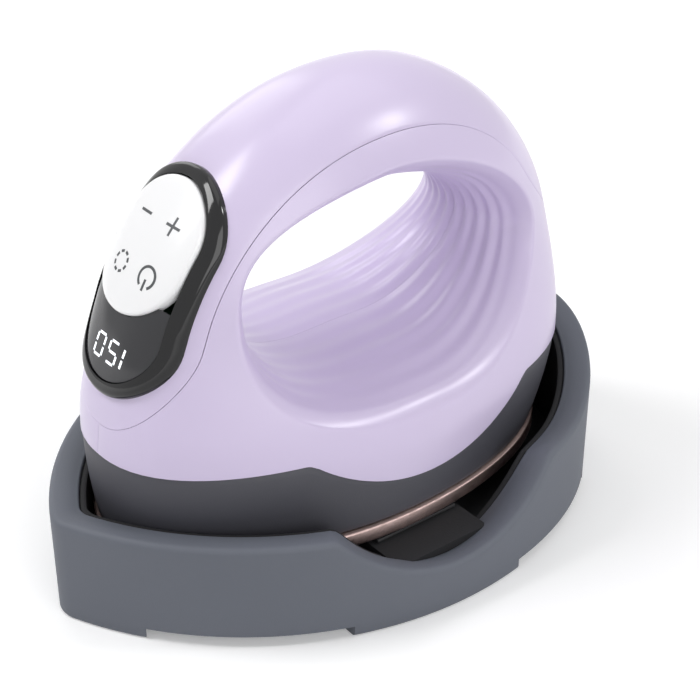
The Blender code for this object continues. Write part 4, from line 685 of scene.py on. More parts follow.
@dataclass(frozen=True)
class PressForm:
    """The press's body form, its hand hole and its seam lines, sizes in metres."""

    crown_z: float
    crown_y: float = 0.0080
    nose_reach: float = 0.0625
    nose_full_z: float = 0.0275
    nose_undercut: float = 0.0660
    nose_arch: float = 1.95
    tail_reach: float = 0.0500
    tail_full_z: float = 0.0415
    tail_undercut: float = 0.0490
    grip_half: float = 0.0244
    foot_half: float = 0.0325
    flare_top_z: float = 0.0620
    flare_foot_z: float = 0.0300
    shoulder_z: float = 0.0637
    plate_top_z: float = 0.0159
    nose_edge_z: float = 0.0400
    nose_panel_z: float = 0.0620
    nose_fine: tuple[float, float, float, float] = (1.10, 0.80, 0.66, 0.64)
    tail_fine: float = 0.78
    hole_y: float = 0.00475
    hole_z: float = 0.06125
    hole_half_length: float = 0.03775
    hole_half_height: float = 0.02395
    hole_round: float = 1.75
    hole_fullness: float = 0.95
    hole_full_deg: float = 225.0
    edge_line_z: float = 0.0340
    lobe_y: float = 0.0040
    lobe_foot_z: float = 0.0237
    lobe_radius: float = 0.0436
    lobe_blend: float = 0.0012
    seam_half_width: float = 0.0164
    seam_round: float = 0.0174
    seam_nose_z: float = 0.0580
    seam_tail_z: float = 0.0738

    def nose_y(self, z: float) -> float:
        """Finds the front of the body on the mirror plane at a height.

        Args:
            z: The height.

        Returns:
            Its place along Y.
        """
        if z < self.nose_full_z:
            fall = min((self.nose_full_z - z) / self.nose_undercut, 1.0)
            return self.crown_y - self.nose_reach * math.sqrt(1 - fall * fall)
        rise = min((z - self.nose_full_z) / (self.crown_z - self.nose_full_z), 1.0)
        arch = self.nose_arch
        return self.crown_y - self.nose_reach * (1 - rise ** arch) ** (1 / arch)

    def tail_y(self, z: float) -> float:
        """Finds the back of the body on the mirror plane at a height.

        Args:
            z: The height.

        Returns:
            Its place along Y.
        """
        above = z >= self.tail_full_z
        span = self.crown_z - self.tail_full_z if above else self.tail_undercut
        rise = min(abs(z - self.tail_full_z) / span, 1.0)
        return self.crown_y + self.tail_reach * math.sqrt(1 - rise * rise)

    def widest_x(self, z: float) -> float:
        """Finds the greatest half width of the body at a height.

        Args:
            z: The height.

        Returns:
            The half width.
        """
        share = (self.flare_top_z - z) / (self.flare_top_z - self.flare_foot_z)
        rise = (z - self.shoulder_z) / (self.crown_z - self.shoulder_z)
        rise = min(max(rise, 0.0), 1.0)
        return level_blend(self.grip_half, self.foot_half, share) * math.sqrt(1 - rise * rise)

    def fineness(self, z: float) -> float:
        """Finds the exponent of the nose's plan curve: low is blunt, high is sharp.

        Args:
            z: The height.

        Returns:
            The exponent.
        """
        foot, edge, panel, crown = self.nose_fine
        if z < self.nose_edge_z:
            return mix(foot, edge, (z - self.plate_top_z) / (self.nose_edge_z - self.plate_top_z))
        if z < self.nose_panel_z:
            return mix(edge, panel, (z - self.nose_edge_z) / (self.nose_panel_z - self.nose_edge_z))
        return mix(panel, crown, (z - self.nose_panel_z) / (self.crown_z - self.nose_panel_z))

    def half_width(self, y: float, z: float) -> float:
        """Finds the body's half width at a point of its side view, 0 outside it.

        Args:
            y: The point's place along Y.
            z: Its height.

        Returns:
            The half width, 0 outside the body.
        """
        if z >= self.crown_z:
            return 0.0
        front, back = self.nose_y(z), self.tail_y(z)
        middle = (front + back) / 2
        if abs(y - middle) >= back - middle:
            return 0.0
        share = (y - middle) / (back - middle)
        fine = self.fineness(z) if y < middle else self.tail_fine
        return self.widest_x(z) * (1 - share * share) ** (fine / 2)

    def outward(self, point: Vector) -> Vector:
        """Finds the surface's unit normal at a point on it.

        Args:
            point: The point.

        Returns:
            The normal.
        """
        y, z = point.y, point.z
        along_y = self.half_width(y + PROBE, z) ** 2 - self.half_width(y - PROBE, z) ** 2
        along_z = self.half_width(y, z + PROBE) ** 2 - self.half_width(y, z - PROBE) ** 2
        return Vector((4 * PROBE * point.x, -along_y, -along_z)).normalized()

    def plan_point(self, z: float, angle: float, depth: float = 0.0) -> Vector:
        """Finds a point of the body's plan outline.

        Args:
            z: Height of the outline.
            angle: 0 at the nose, pi at the tail.
            depth: How far inside the outline.

        Returns:
            The point.
        """
        front, back = self.nose_y(z), self.tail_y(z)
        y = (front + back) / 2 - (back - front) / 2 * math.cos(angle)
        fine = self.fineness(z) if math.cos(angle) > 0 else self.tail_fine
        x = self.widest_x(z) * math.sin(angle) ** fine if 0 < angle < math.pi else 0.0
        point = Vector((x, y, z))
        if not depth:
            return point
        if not x:
            return point + Vector((0, depth if angle < 1 else -depth, 0))
        slope = self.outward(point)
        return point - Vector((slope.x, slope.y, 0)).normalized() * depth

    def edge_z(self, y: float) -> float:
        """Finds the height of the line between shells and skirt.

        Args:
            y: Place along Y.

        Returns:
            The line's height there.
        """
        reach = self.lobe_radius ** 2 - (y - self.lobe_y) ** 2
        if reach <= 0:
            return self.edge_line_z
        lobe = self.lobe_foot_z + self.lobe_radius - math.sqrt(reach)
        return soft_min(lobe, self.edge_line_z, self.lobe_blend)

    def lobe_ends(self) -> tuple[float, float]:
        """Finds the two places along Y where the lobe leaves the level line.

        Returns:
            The nose end and the tail end.
        """
        fall = self.lobe_radius - (self.edge_line_z - self.lobe_foot_z)
        half = math.sqrt(self.lobe_radius ** 2 - fall ** 2)
        return self.lobe_y - half, self.lobe_y + half

    def fan_point(self, angle: float, reach: float, x: float | None = None) -> Vector:
        """Finds the point at a fan angle and reach round the hand hole's axis.

        Args:
            angle: The ray's fan angle.
            reach: Distance from the hole's axis.
            x: Place across; without it the point is on the surface.

        Returns:
            The point.
        """
        y = self.hole_y + reach * math.cos(angle)
        z = self.hole_z + reach * math.sin(angle)
        return Vector((self.half_width(y, z) if x is None else x, y, z))

    def fan_angle(self, y: float, z: float) -> float:
        """Returns the fan angle of a point of the side view."""
        return math.atan2(z - self.hole_z, y - self.hole_y)

    def rim_reach(self, angle: float) -> float:
        """Finds the reach of the hand hole's rim.

        Args:
            angle: The ray's fan angle.

        Returns:
            The reach.
        """
        lean = 0.5 + 0.5 * math.cos(angle - math.radians(self.hole_full_deg))
        power = self.hole_round + self.hole_fullness * lean * lean
        across = (abs(math.cos(angle)) / self.hole_half_length) ** power
        upright = (abs(math.sin(angle)) / self.hole_half_height) ** power
        return (across + upright) ** (-1 / power)

    def seam_half(self, z: float, tail: bool, margin: float) -> float:
        """Finds the half width of the spine cover's outline at a height.

        Args:
            z: The height.
            tail: Whether it is the seam's tail end.
            margin: How far outside the seam.

        Returns:
            The half width, 0 below the seam's tip.
        """
        level = self.seam_tail_z if tail else self.seam_nose_z
        if z >= level:
            return self.seam_half_width + margin
        share = (level - z) / (self.seam_round + margin)
        return (self.seam_half_width + margin) * math.sqrt(max(1 - share * share, 0.0))

    def seam_reach(self, angle: float, margin: float) -> float:
        """Finds the reach at which a fan ray meets the seam or the mirror plane.

        Args:
            angle: The ray's fan angle.
            margin: How far outside the seam.

        Returns:
            The reach.
        """
        tail = math.cos(angle) > 0

        def inside(reach: float) -> bool:
            """Tells whether the point is still on the shell's side of the seam."""
            point = self.fan_point(angle, reach)
            return point.x > max(self.seam_half(point.z, tail, margin), FIT / 10)

        return last_true(inside, self.rim_reach(angle), self.crown_z)

    def edge_reach(self, angle: float, margin: float) -> float:
        """Finds the reach at which a fan ray meets the shells' lower edge.

        Args:
            angle: The ray's fan angle.
            margin: How far above the line.

        Returns:
            The reach.
        """

        def inside(reach: float) -> bool:
            """Tells whether the point is still above the edge line."""
            point = self.fan_point(angle, reach)
            return point.z > self.edge_z(point.y) + margin and point.x > FIT / 10

        return last_true(inside, self.rim_reach(angle), self.crown_z)

    def fan_keys(self) -> list[float]:
        """Finds the fan angles of the shell's corners, round from the nose's edge.

        Returns:
            The angles, with the first again at the end, one turn back.
        """
        nose_tip = self.seam_nose_z - self.seam_round - FIT / 10
        tail_tip = self.seam_tail_z - self.seam_round - FIT / 10
        lobe_nose, lobe_tail = self.lobe_ends()
        corner = self.edge_line_z
        turns = [
            self.fan_angle(self.nose_y(corner), corner) + math.tau,
            self.fan_angle(self.nose_y(nose_tip), nose_tip) + math.tau,
            self.fan_angle(self.nose_y(self.seam_nose_z), self.seam_nose_z) + math.tau,
            self.fan_angle(self.tail_y(self.seam_tail_z), self.seam_tail_z),
            self.fan_angle(self.tail_y(tail_tip), tail_tip),
            self.fan_angle(self.tail_y(corner), corner),
            self.fan_angle(lobe_tail, corner),
            self.fan_angle(lobe_nose, corner),
        ]
        return turns + [turns[0] - math.tau]

    def fan_angles(self, steps: tuple[int, ...], first: int, last: int) -> list[float]:
        """Spreads fan angles between the shell's corners, closer together where its edge turns.

        Args:
            steps: How many angles follow each corner.
            first: Corner to start from.
            last: Corner to stop before.

        Returns:
            The angles.
        """
        keys = self.fan_keys()
        angles = []
        for index in range(first, last):
            for step in range(steps[index]):
                share = step / steps[index]
                if index == 1:
                    share = 1 - math.cos(share * math.pi / 2)
                if index == 3:
                    share = math.sin(share * math.pi / 2)
                if index in (0, 4, 5, 7):
                    share = (1 - math.cos(share * math.pi)) / 2
                angles.append(mix(keys[index], keys[index + 1], share))
        return angles


# Rays that follow each of the shell's corners, in the order of PressForm.fan_keys
FAN_STEPS = (18, 34, 64, 34, 18, 26, 40, 26)


@dataclass
class SideShells:
    """The two lilac side shells with their ribbed, flared hand tunnel."""

    form: PressForm
    wall: float = 0.0020
    lip_in: float = 0.0028
    lip_deep: float = 0.0032
    lip_out: float = 0.0007
    waist: float = 0.0040
    ridge: float = 0.0006
    ridge_low: float = 0.00022
    ridge_full_deg: float = 30.0
    ridges: int = 5
    ridge_steps: int = 10
    gap: float = 0.00006
    edge_round: float = 0.00010
    tongue: float = 0.0012
    tongue_seam: float = 0.0016
    tongue_edge: float = 0.0010
    bend_in: float = 0.78
    bend_out: float = 0.5
    flare_steps: int = 10
    brow_steps: int = 8
    face_steps: int = 16
    inner_shares: tuple[float, ...] = (0.75, 0.4, 0.0)

    def tunnel_reach(self, angle: float, share: float) -> float:
        """Returns the smooth tunnel's reach: share 0 is the mirror plane, 1 the lip."""
        return self.form.rim_reach(angle) - self.lip_in - self.waist * (1 - share * share)

    def ridge_height(self, angle: float, share: float) -> float:
        """Finds how far a ridge stands out of the tunnel wall.

        Args:
            angle: Fan angle; the ridges are highest at the tail's upper side.
            share: 0 on the mirror plane, 1 at the lip.

        Returns:
            The height, none at the lip.
        """
        wave = math.sin(math.pi * self.ridges * share) ** 2
        near = 0.5 + 0.5 * math.cos(angle - math.radians(self.ridge_full_deg))
        tall = mix(self.ridge_low, self.ridge, level_blend(0.0, 1.0, near))
        return tall * wave * level_blend(0.0, 1.0, (1 - share) * self.ridges)

    def tunnel_points(self, angle: float, lip_x: float) -> Ring:
        """Finds the tunnel wall's points from the mirror plane out to the lip.

        Args:
            angle: The ray's fan angle.
            lip_x: Place across where the lip starts.

        Returns:
            The points.
        """
        count = self.ridges * self.ridge_steps
        points = []
        for step in range(count + 1):
            share = step / count
            reach = self.tunnel_reach(angle, share) - self.ridge_height(angle, share)
            points.append(self.form.fan_point(angle, reach, mix(self.gap / 2, lip_x, share)))
        return points

    def section(self, angle: float) -> Ring:
        """Draws the right shell's closed section in one fan plane.

        Args:
            angle: The plane's fan angle.

        Returns:
            The section's points, always as many.
        """
        form = self.form
        rim = form.rim_reach(angle)
        margin = self.gap / 2
        seam, edge = form.seam_reach(angle, margin), form.edge_reach(angle, margin)
        border = min(seam, edge)
        lip_x = form.fan_point(angle, rim).x - self.lip_deep
        lip_out = min(self.lip_out, (border - rim) / 3)
        section = self.tunnel_points(angle, lip_x)
        start, corner = section[-1], form.fan_point(angle, rim)
        bend = form.fan_point(angle, rim - self.lip_in * self.bend_in,
                              lip_x + self.lip_deep * self.bend_out)
        flare = [curve_point(start, bend, corner, step / self.flare_steps)
                 for step in range(1, self.flare_steps)]
        section.extend(flare)
        end = form.fan_point(angle, rim + lip_out)
        section.extend(curve_point(flare[-1], corner, end, step / self.brow_steps)
                       for step in range(1, self.brow_steps))
        rim_point = form.fan_point(angle, border)
        last = last_true(
            lambda reach: (form.fan_point(angle, reach) - rim_point).length > self.edge_round,
            rim + lip_out, border)
        surface = []
        for step in range(self.face_steps + 1):
            share = 1 - (1 - step / self.face_steps) ** 3
            surface.append(form.fan_point(angle, mix(rim + lip_out, last, share)))
        section.extend(surface)
        section.append(rim_point - form.outward(rim_point) * self.edge_round * 0.3)
        section.append(rim_point - form.outward(rim_point) * self.edge_round)
        section.extend(self.tongue_points(angle, seam < edge, border, rim_point, surface[9]))
        for base in surface[8::-2]:
            section.append(base - form.outward(base) * self.wall)
        for share in self.inner_shares:
            reach = self.tunnel_reach(angle, share) + self.wall
            section.append(form.fan_point(angle, reach, mix(margin, lip_x - self.lip_in, share)))
        for spot in section:
            spot.x = max(spot.x, margin)
        return section

    def tongue_points(self, angle: float, at_seam: bool, border: float, rim_point: Vector,
                      root: Vector) -> Ring:
        """Draws the tongue that closes the gap to the neighbour from inside.

        Args:
            angle: Fan angle of the section.
            at_seam: Whether the neighbour is the spine cover, not the skirt.
            border: Reach of the shell's border.
            rim_point: The border's point on the surface.
            root: Surface point over the tongue's root.

        Returns:
            The four corners of the tongue.
        """
        form = self.form
        tip = rim_point
        if rim_point.x > form.seam_half_width / 8:
            if at_seam:
                tip = form.fan_point(angle, form.seam_reach(angle, -self.tongue_seam))
            else:
                least = rim_point.x / 2
                limit = last_true(lambda reach: form.fan_point(angle, reach).x > least,
                                  border, form.crown_z)
                tip = form.fan_point(angle, min(border + self.tongue_edge, limit))
        step_in = self.wall + FIT
        thick = step_in + self.tongue
        corners = ((rim_point, step_in), (tip, step_in), (tip, thick), (root, thick))
        return [base - form.outward(base) * depth for base, depth in corners]

    def build(self) -> None:
        """Builds the right and left shells."""
        angles = self.form.fan_angles(FAN_STEPS, 0, len(FAN_STEPS))
        sections = [self.section(angle) for angle in angles]
        for name, node, side in (("right_side_shell", "right_shell", 1),
                                 ("left_side_shell", "left_shell", -1)):
            rings = []
            for index in range(len(sections[0])):
                rings.append([Vector((side * one[index].x, *one[index].yz)) for one in sections])
            piece = ring_piece(name, rings, LILAC, Body.PRESS, node, wrap=True)
            join(piece, self.gland_seat(), Join.CUT)

    def gland_seat(self) -> bmesh.types.BMesh:
        """Finds the round hole at the tail that the gland is clamped in.

        Returns:
            The helper shape.
        """
        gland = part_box("cord_gland")
        z = node_middle("cord_gland").z
        bm = bmesh.new()
        add_rod(bm, (0, gland[0].y - OVERRUN, z), (0, gland[1].y + OVERRUN, z),
                CordGland.body + FIT / 2)
        return bm


@dataclass
class SpineCover:
    """The lilac cover over nose, crown and tail, with the panel's cut-out."""

    form: PressForm
    panel: "ControlPanel"
    wall: float = 0.0020
    gap: float = 0.00006
    edge_round: float = 0.00010
    across: int = 26

    def section(self, angle: float) -> Ring:
        """Draws the cover's closed section in one fan plane, from left to right and back.

        Args:
            angle: The plane's fan angle.

        Returns:
            The section's points.
        """
        form = self.form
        reach = form.seam_reach(angle, -self.gap / 2)
        half = max(form.fan_point(angle, reach).x, form.seam_half_width / 200)
        outer = []
        for step in range(self.across + 1):
            share = math.sin((step / self.across - 0.5) * math.pi)
            wanted = max(abs(half * share), PROBE / 20)
            ray = last_true(lambda far: form.fan_point(angle, far).x > wanted,
                            form.rim_reach(angle), form.crown_z)
            spot = form.fan_point(angle, ray)
            spot.x = half * share
            outer.append(spot)
        inner = [spot - form.outward(spot) * self.wall for spot in reversed(outer)]
        for index in (0, self.across):
            outer[index] = outer[index] - form.outward(outer[index]) * self.edge_round
        return outer + inner

    def build(self) -> None:
        """Builds the cover and cuts the panel's opening."""
        angles = self.form.fan_angles(FAN_STEPS, 1, 4)[1:]
        cover = ring_piece("spine_cover_shell", [self.section(angle) for angle in angles], LILAC,
                           Body.PRESS, "spine_cover")
        panel = self.panel
        inset = panel.bezel_flange
        outline = panel.stadium(panel.bezel_half - inset, panel.half_length - inset, 0.0)
        join(cover, panel.cutter(outline), Join.CUT)


@dataclass
class ControlPanel:
    """Bezel, key pad, window, digits and key marks, drawn on the chord of the nose's profile."""

    form: PressForm
    foot_z: float = 0.0470
    top_z: float = 0.0867
    cut_depth: float = 0.0090
    bezel_half: float = 0.0145
    bezel_rise: float = 0.0015
    bezel_bevel: float = 0.0009
    bezel_flange: float = 0.0012
    bezel_rim: float = 0.0026
    bezel_plug: float = 0.0032
    key_half: float = 0.0116
    key_half_length: float = 0.01395
    key_middle: float = 0.00655
    key_rise: float = 0.0020
    key_thick: float = 0.0022
    key_edge: float = 0.0006
    key_column: float = 0.0048
    key_row_top: float = 0.0117
    key_row_low: float = 0.00125
    stem_radius: float = 0.0012
    window_rise: float = 0.0011
    window_thick: float = 0.0012
    window_gap: float = 0.00012
    horn_share: float = 0.8
    mark_column: float = 0.00435
    mark_side: float = 0.00065
    stroke: float = 0.00054
    mark_lift: float = 0.00004
    digit_middle: float = -0.0149
    digit_tall: float = 0.0044
    digit_wide: float = 0.0027
    digit_pitch: float = 0.0045
    digit_stroke: float = 0.00046
    digit_slant: float = 0.12
    digit_side: float = 0.0019
    mark_arm: float = 0.0019
    mark_ring: float = 0.0021
    power_bar: float = 0.0017
    power_arc: tuple[float, float] = (-58, 238)
    dashes: int = 8
    dash_arc: tuple[float, float] = (9, 36)
    dash_ring: float = 0.92
    minus_share: float = 0.9
    digit_trim: float = 0.62
    slab_core: float = 0.04
    bezel_lip: float = 0.00025
    soft_share: float = 0.3
    arc_steps: int = 36
    side_steps: int = 24
    upward: Vector = field(init=False)
    normal: Vector = field(init=False)
    middle: Vector = field(init=False)
    half_length: float = field(init=False)

    def __post_init__(self) -> None:
        """Works out the panel's frame from the ends of its chord."""
        foot, top = [Vector((0, self.form.nose_y(z), z)) for z in (self.foot_z, self.top_z)]
        self.upward = (top - foot).normalized()
        self.normal = Vector((0, -self.upward.z, self.upward.y))
        self.middle = (foot + top) / 2
        self.half_length = (top - foot).length / 2

    def flat(self, x: float, u: float, n: float) -> Vector:
        """Returns the point at x across, u up the chord and n out of it."""
        return self.middle + Vector((x, 0, 0)) + self.upward * u + self.normal * n

    def height(self, x: float, u: float) -> float:
        """Finds the height of the body's surface above the chord plane.

        Args:
            x: Place across.
            u: Place up the chord.

        Returns:
            The height.
        """

        def inside(n: float) -> bool:
            """Tells whether the point is still inside the body."""
            spot = self.flat(x, u, n)
            return self.form.half_width(spot.y, spot.z) > abs(x)

        return last_true(inside, -self.cut_depth, self.cut_depth)

    def over(self, x: float, u: float, rise: float) -> Vector:
        """Returns the point at a rise over the body's surface."""
        return self.flat(x, u, self.height(x, u) + rise)

    def stadium(self, half: float, half_length: float, middle: float,
                shrink: float = 0.0) -> Outline:
        """Draws a slot with round ends.

        Args:
            half: Half width, also the radius of the ends.
            half_length: Half of the whole length.
            middle: Place of the centre along the chord.
            shrink: How far inside that outline.

        Returns:
            The outline's points.
        """
        radius = half - shrink
        straight = half_length - half
        outline = []
        for end in (1, -1):
            for step in range(self.arc_steps + 1):
                angle = math.pi * step / self.arc_steps + (0 if end > 0 else math.pi)
                outline.append((radius * math.cos(angle),
                                middle + end * straight + radius * math.sin(angle)))
            for step in range(1, self.side_steps):
                share = 1 - 2 * step / self.side_steps
                outline.append((-end * radius, middle + end * straight * share))
        return outline

    def flat_ring(self, outline: Outline, n: float) -> Ring:
        """Returns an outline's ring at a fixed height over the chord."""
        return [self.flat(x, u, n) for x, u in outline]

    def cutter(self, outline: Outline) -> bmesh.types.BMesh:
        """Returns a helper shape that cuts an outline through the whole panel.

        Args:
            outline: The outline.

        Returns:
            The helper shape.
        """
        bm = bmesh.new()
        skin(bm, [self.flat_ring(outline, -self.cut_depth), self.flat_ring(outline, self.cut_depth)])
        return bm

    def surface_ring(self, outline: Outline, rise: float) -> Ring:
        """Returns an outline's ring at a rise over the body's surface."""
        return [self.over(x, u, rise) for x, u in outline]

    def bezel(self) -> None:
        """Builds the gloss black frame, whose flange lies on the spine cover."""
        rise, bevel = self.bezel_rise, self.bezel_bevel
        steps = [(0.0, SEAT_LIFT), (0.0, rise - bevel)]
        for angle in quarter(6, 1):
            steps.append((bevel * (1 - math.cos(angle)), rise - bevel + bevel * math.sin(angle)))
        inner, lip = self.bezel_rim, self.bezel_lip
        soft = lip * self.soft_share
        steps += [(inner - lip, rise), (inner - soft, rise - soft), (inner, rise - lip),
                  (inner, -self.bezel_plug), (self.bezel_flange + FIT, -self.bezel_plug),
                  (self.bezel_flange + FIT, SEAT_LIFT)]
        rings = []
        for inset, height in steps:
            outline = self.stadium(self.bezel_half, self.half_length, 0.0, inset)
            rings.append(self.surface_ring(outline, height))
        ring_piece("gloss_bezel", rings, GLOSS_BLACK, Body.PRESS, "panel_bezel", wrap=True)

    def slab(self, outline: Outline, middle: float, top: float, bottom: float,
             edge: float) -> bmesh.types.BMesh:
        """Makes a slab that follows the nose's curve.

        Args:
            outline: Its outline.
            middle: The outline's centre along the chord.
            top: Rise of its upper face.
            bottom: Rise of its lower face.
            edge: Radius of its rounded upper edge.

        Returns:
            The slab's bmesh.
        """
        def drawn(share: float) -> Outline:
            """Draws the outline towards its middle."""
            return [(x * share, middle + (u - middle) * share) for x, u in outline]

        core = self.slab_core
        inner = [core + (1 - core) * step / 8 for step in range(9)]
        rings = [self.surface_ring(drawn(share), bottom) for share in inner]
        for angle in quarter(4):
            share = 1 - edge * (1 - math.cos(angle)) / self.bezel_half
            rings.append(self.surface_ring(drawn(share), top - edge + edge * math.sin(angle)))
        crown = 1 - edge / self.bezel_half
        rings += [self.surface_ring(drawn(share * crown), top) for share in reversed(inner[:-1])]
        bm = bmesh.new()
        skin(bm, rings)
        return bm

    def keypad(self) -> None:
        """Builds the white key pad with the stems that press the switches."""
        outline = self.stadium(self.key_half, self.key_half_length, self.key_middle)
        bottom = self.key_rise - self.key_thick
        bm = self.slab(outline, self.key_middle, self.key_rise, bottom, self.key_edge)
        pad = make_piece("white_key_pad", bm, KEY_WHITE, Body.KEYPAD, ("keypad",))
        stems = bmesh.new()
        switch = max(self.depth_of(node) for node in frame["nodes"] if node.startswith("tact_switch"))
        for x, u in self.key_spots():
            top = self.height(x, u) + bottom + self.key_thick / 2
            add_rod(stems, self.flat(x, u, switch + 2 * FIT), self.flat(x, u, top), self.stem_radius)
        join(pad, stems, Join.FUSE)

    def depth_of(self, node: str) -> float:
        """Returns how high a CAD node reaches over the chord plane."""
        spots = frame["nodes"][node].data.vertices
        return max((spot.co - self.middle).dot(self.normal) for spot in spots)

    def key_spots(self) -> list[tuple[float, float]]:
        """Returns the four keys' places: minus, plus, mode and power."""
        return [(x, u) for u in (self.key_row_top, self.key_row_low)
                for x in (-self.key_column, self.key_column)]

    def window(self) -> None:
        """Builds the smoked window that fills the bezel below the keys."""
        inset = self.bezel_rim + self.window_gap
        outline = self.stadium(self.bezel_half, self.half_length, 0.0, inset)
        bottom = self.window_rise - self.window_thick
        bm = self.slab(outline, 0.0, self.window_rise, bottom, self.window_gap)
        piece = make_piece("smoked_window", bm, WINDOW_SMOKE, Body.PRESS, ("display_window",))
        radius = self.key_half + self.window_gap
        centre = self.key_middle - (self.key_half_length - self.key_half)
        lean = math.acos(self.horn_share)
        hole = []
        for step in range(self.arc_steps + 1):
            angle = mix(-lean, lean - math.pi, step / self.arc_steps)
            hole.append((radius * math.cos(angle), centre + radius * math.sin(angle)))
        wide, top = self.bezel_half + OVERRUN, self.half_length + OVERRUN
        horn = hole[0][1]
        hole = [(wide, top), (wide, horn), *hole, (-wide, horn), (-wide, top)]
        join(piece, self.cutter(hole), Join.CUT)

    def add_stroke(self, bm: bmesh.types.BMesh, path: Outline, width: float, rise: float) -> None:
        """Lays one printed stroke over the panel.

        Args:
            bm: The bmesh that takes it.
            path: Its middle line in panel coordinates.
            width: Its width.
            rise: Rise of the surface that it is printed on.
        """
        rings = []
        for index, (x, u) in enumerate(path):
            before = path[max(index - 1, 0)]
            after = path[min(index + 1, len(path) - 1)]
            along = Vector((after[0] - before[0], after[1] - before[1])).normalized()
            dx, du = -along.y * width / 2, along.x * width / 2
            low, high = rise - self.mark_lift, rise + self.mark_lift
            corners = ((-1, low), (1, low), (1, high), (-1, high))
            rings.append([self.over(x + dx * side, u + du * side, level) for side, level in corners])
        skin(bm, rings)

    @staticmethod
    def line(start: tuple[float, float], end: tuple[float, float], steps: int = 6) -> Outline:
        """Returns a straight path's points."""
        return [(mix(start[0], end[0], step / steps), mix(start[1], end[1], step / steps))
                for step in range(steps + 1)]

    @staticmethod
    def arc(centre: tuple[float, float], radius: float, start: float, end: float,
            steps: int = 40) -> Outline:
        """Returns a round path's points, angles in degrees.

        Args:
            centre: Its centre.
            radius: Its radius.
            start: Angle where it starts.
            end: Angle where it ends.
            steps: Its number of steps.

        Returns:
            The path's points.
        """
        path = []
        for step in range(steps + 1):
            angle = math.radians(mix(start, end, step / steps))
            path.append((centre[0] + radius * math.cos(angle), centre[1] + radius * math.sin(angle)))
        return path

    def marks(self) -> None:
        """Builds the printed key marks: minus, plus, a dashed ring and the power ring."""
        left, right = self.mark_side - self.mark_column, self.mark_side + self.mark_column
        minus, plus = (left, self.key_row_top), (right, self.key_row_top)
        mode, power = (left, self.key_row_low), (right, self.key_row_low)
        arm, ring, half = self.mark_arm, self.mark_ring, self.stroke / 2
        short = arm * self.minus_share
        foot = power[1] - ring
        paths = [
            self.line((minus[0] - short, minus[1]), (minus[0] + short, minus[1])),
            self.line((plus[0] - arm, plus[1]), (plus[0] + arm, plus[1])),
            self.line((plus[0], plus[1] - arm), (plus[0], plus[1] - half), 2),
            self.line((plus[0], plus[1] + half), (plus[0], plus[1] + arm), 2),
            self.arc(power, ring, *self.power_arc),
            self.line((power[0], foot - self.stroke), (power[0], foot + self.power_bar)),
        ]
        for dash in range(self.dashes):
            start, end = [360 / self.dashes * dash + turn for turn in self.dash_arc]
            paths.append(self.arc(mode, ring * self.dash_ring, start, end, 6))
        bm = bmesh.new()
        for path in paths:
            self.add_stroke(bm, path, self.stroke, self.key_rise)
        make_piece("key_marks", bm, MARK_GREY, Body.KEYPAD)

    def digits(self) -> None:
        """Builds the lit seven-segment number 150, read from the hand's side."""
        half, wide = self.digit_tall / 2, self.digit_wide / 2
        trim = self.digit_stroke * self.digit_trim
        segments = {
            "a": ((-wide + trim, half), (wide - trim, half)),
            "b": ((wide, half - trim), (wide, trim)),
            "c": ((wide, -trim), (wide, -half + trim)),
            "d": ((-wide + trim, -half), (wide - trim, -half)),
            "e": ((-wide, -trim), (-wide, -half + trim)),
            "f": ((-wide, half - trim), (-wide, trim)),
            "g": ((-wide + trim, 0.0), (wide - trim, 0.0)),
        }
        bm = bmesh.new()
        for place, lit in ((-1, "bc"), (0, "afgcd"), (1, "abcdef")):
            for letter in lit:
                ends = []
                for across, up in segments[letter]:
                    across += place * self.digit_pitch + up * self.digit_slant
                    ends.append((self.digit_side - across, self.digit_middle - up))
                path = self.line(ends[0], ends[1], 4)
                self.add_stroke(bm, path, self.digit_stroke, self.window_rise)
        make_piece("lit_digits", bm, DIGIT_WHITE, Body.PRESS)

    def build(self) -> None:
        """Builds every piece of the panel."""
        self.bezel()
        self.keypad()
        self.window()
        self.marks()
        self.digits()


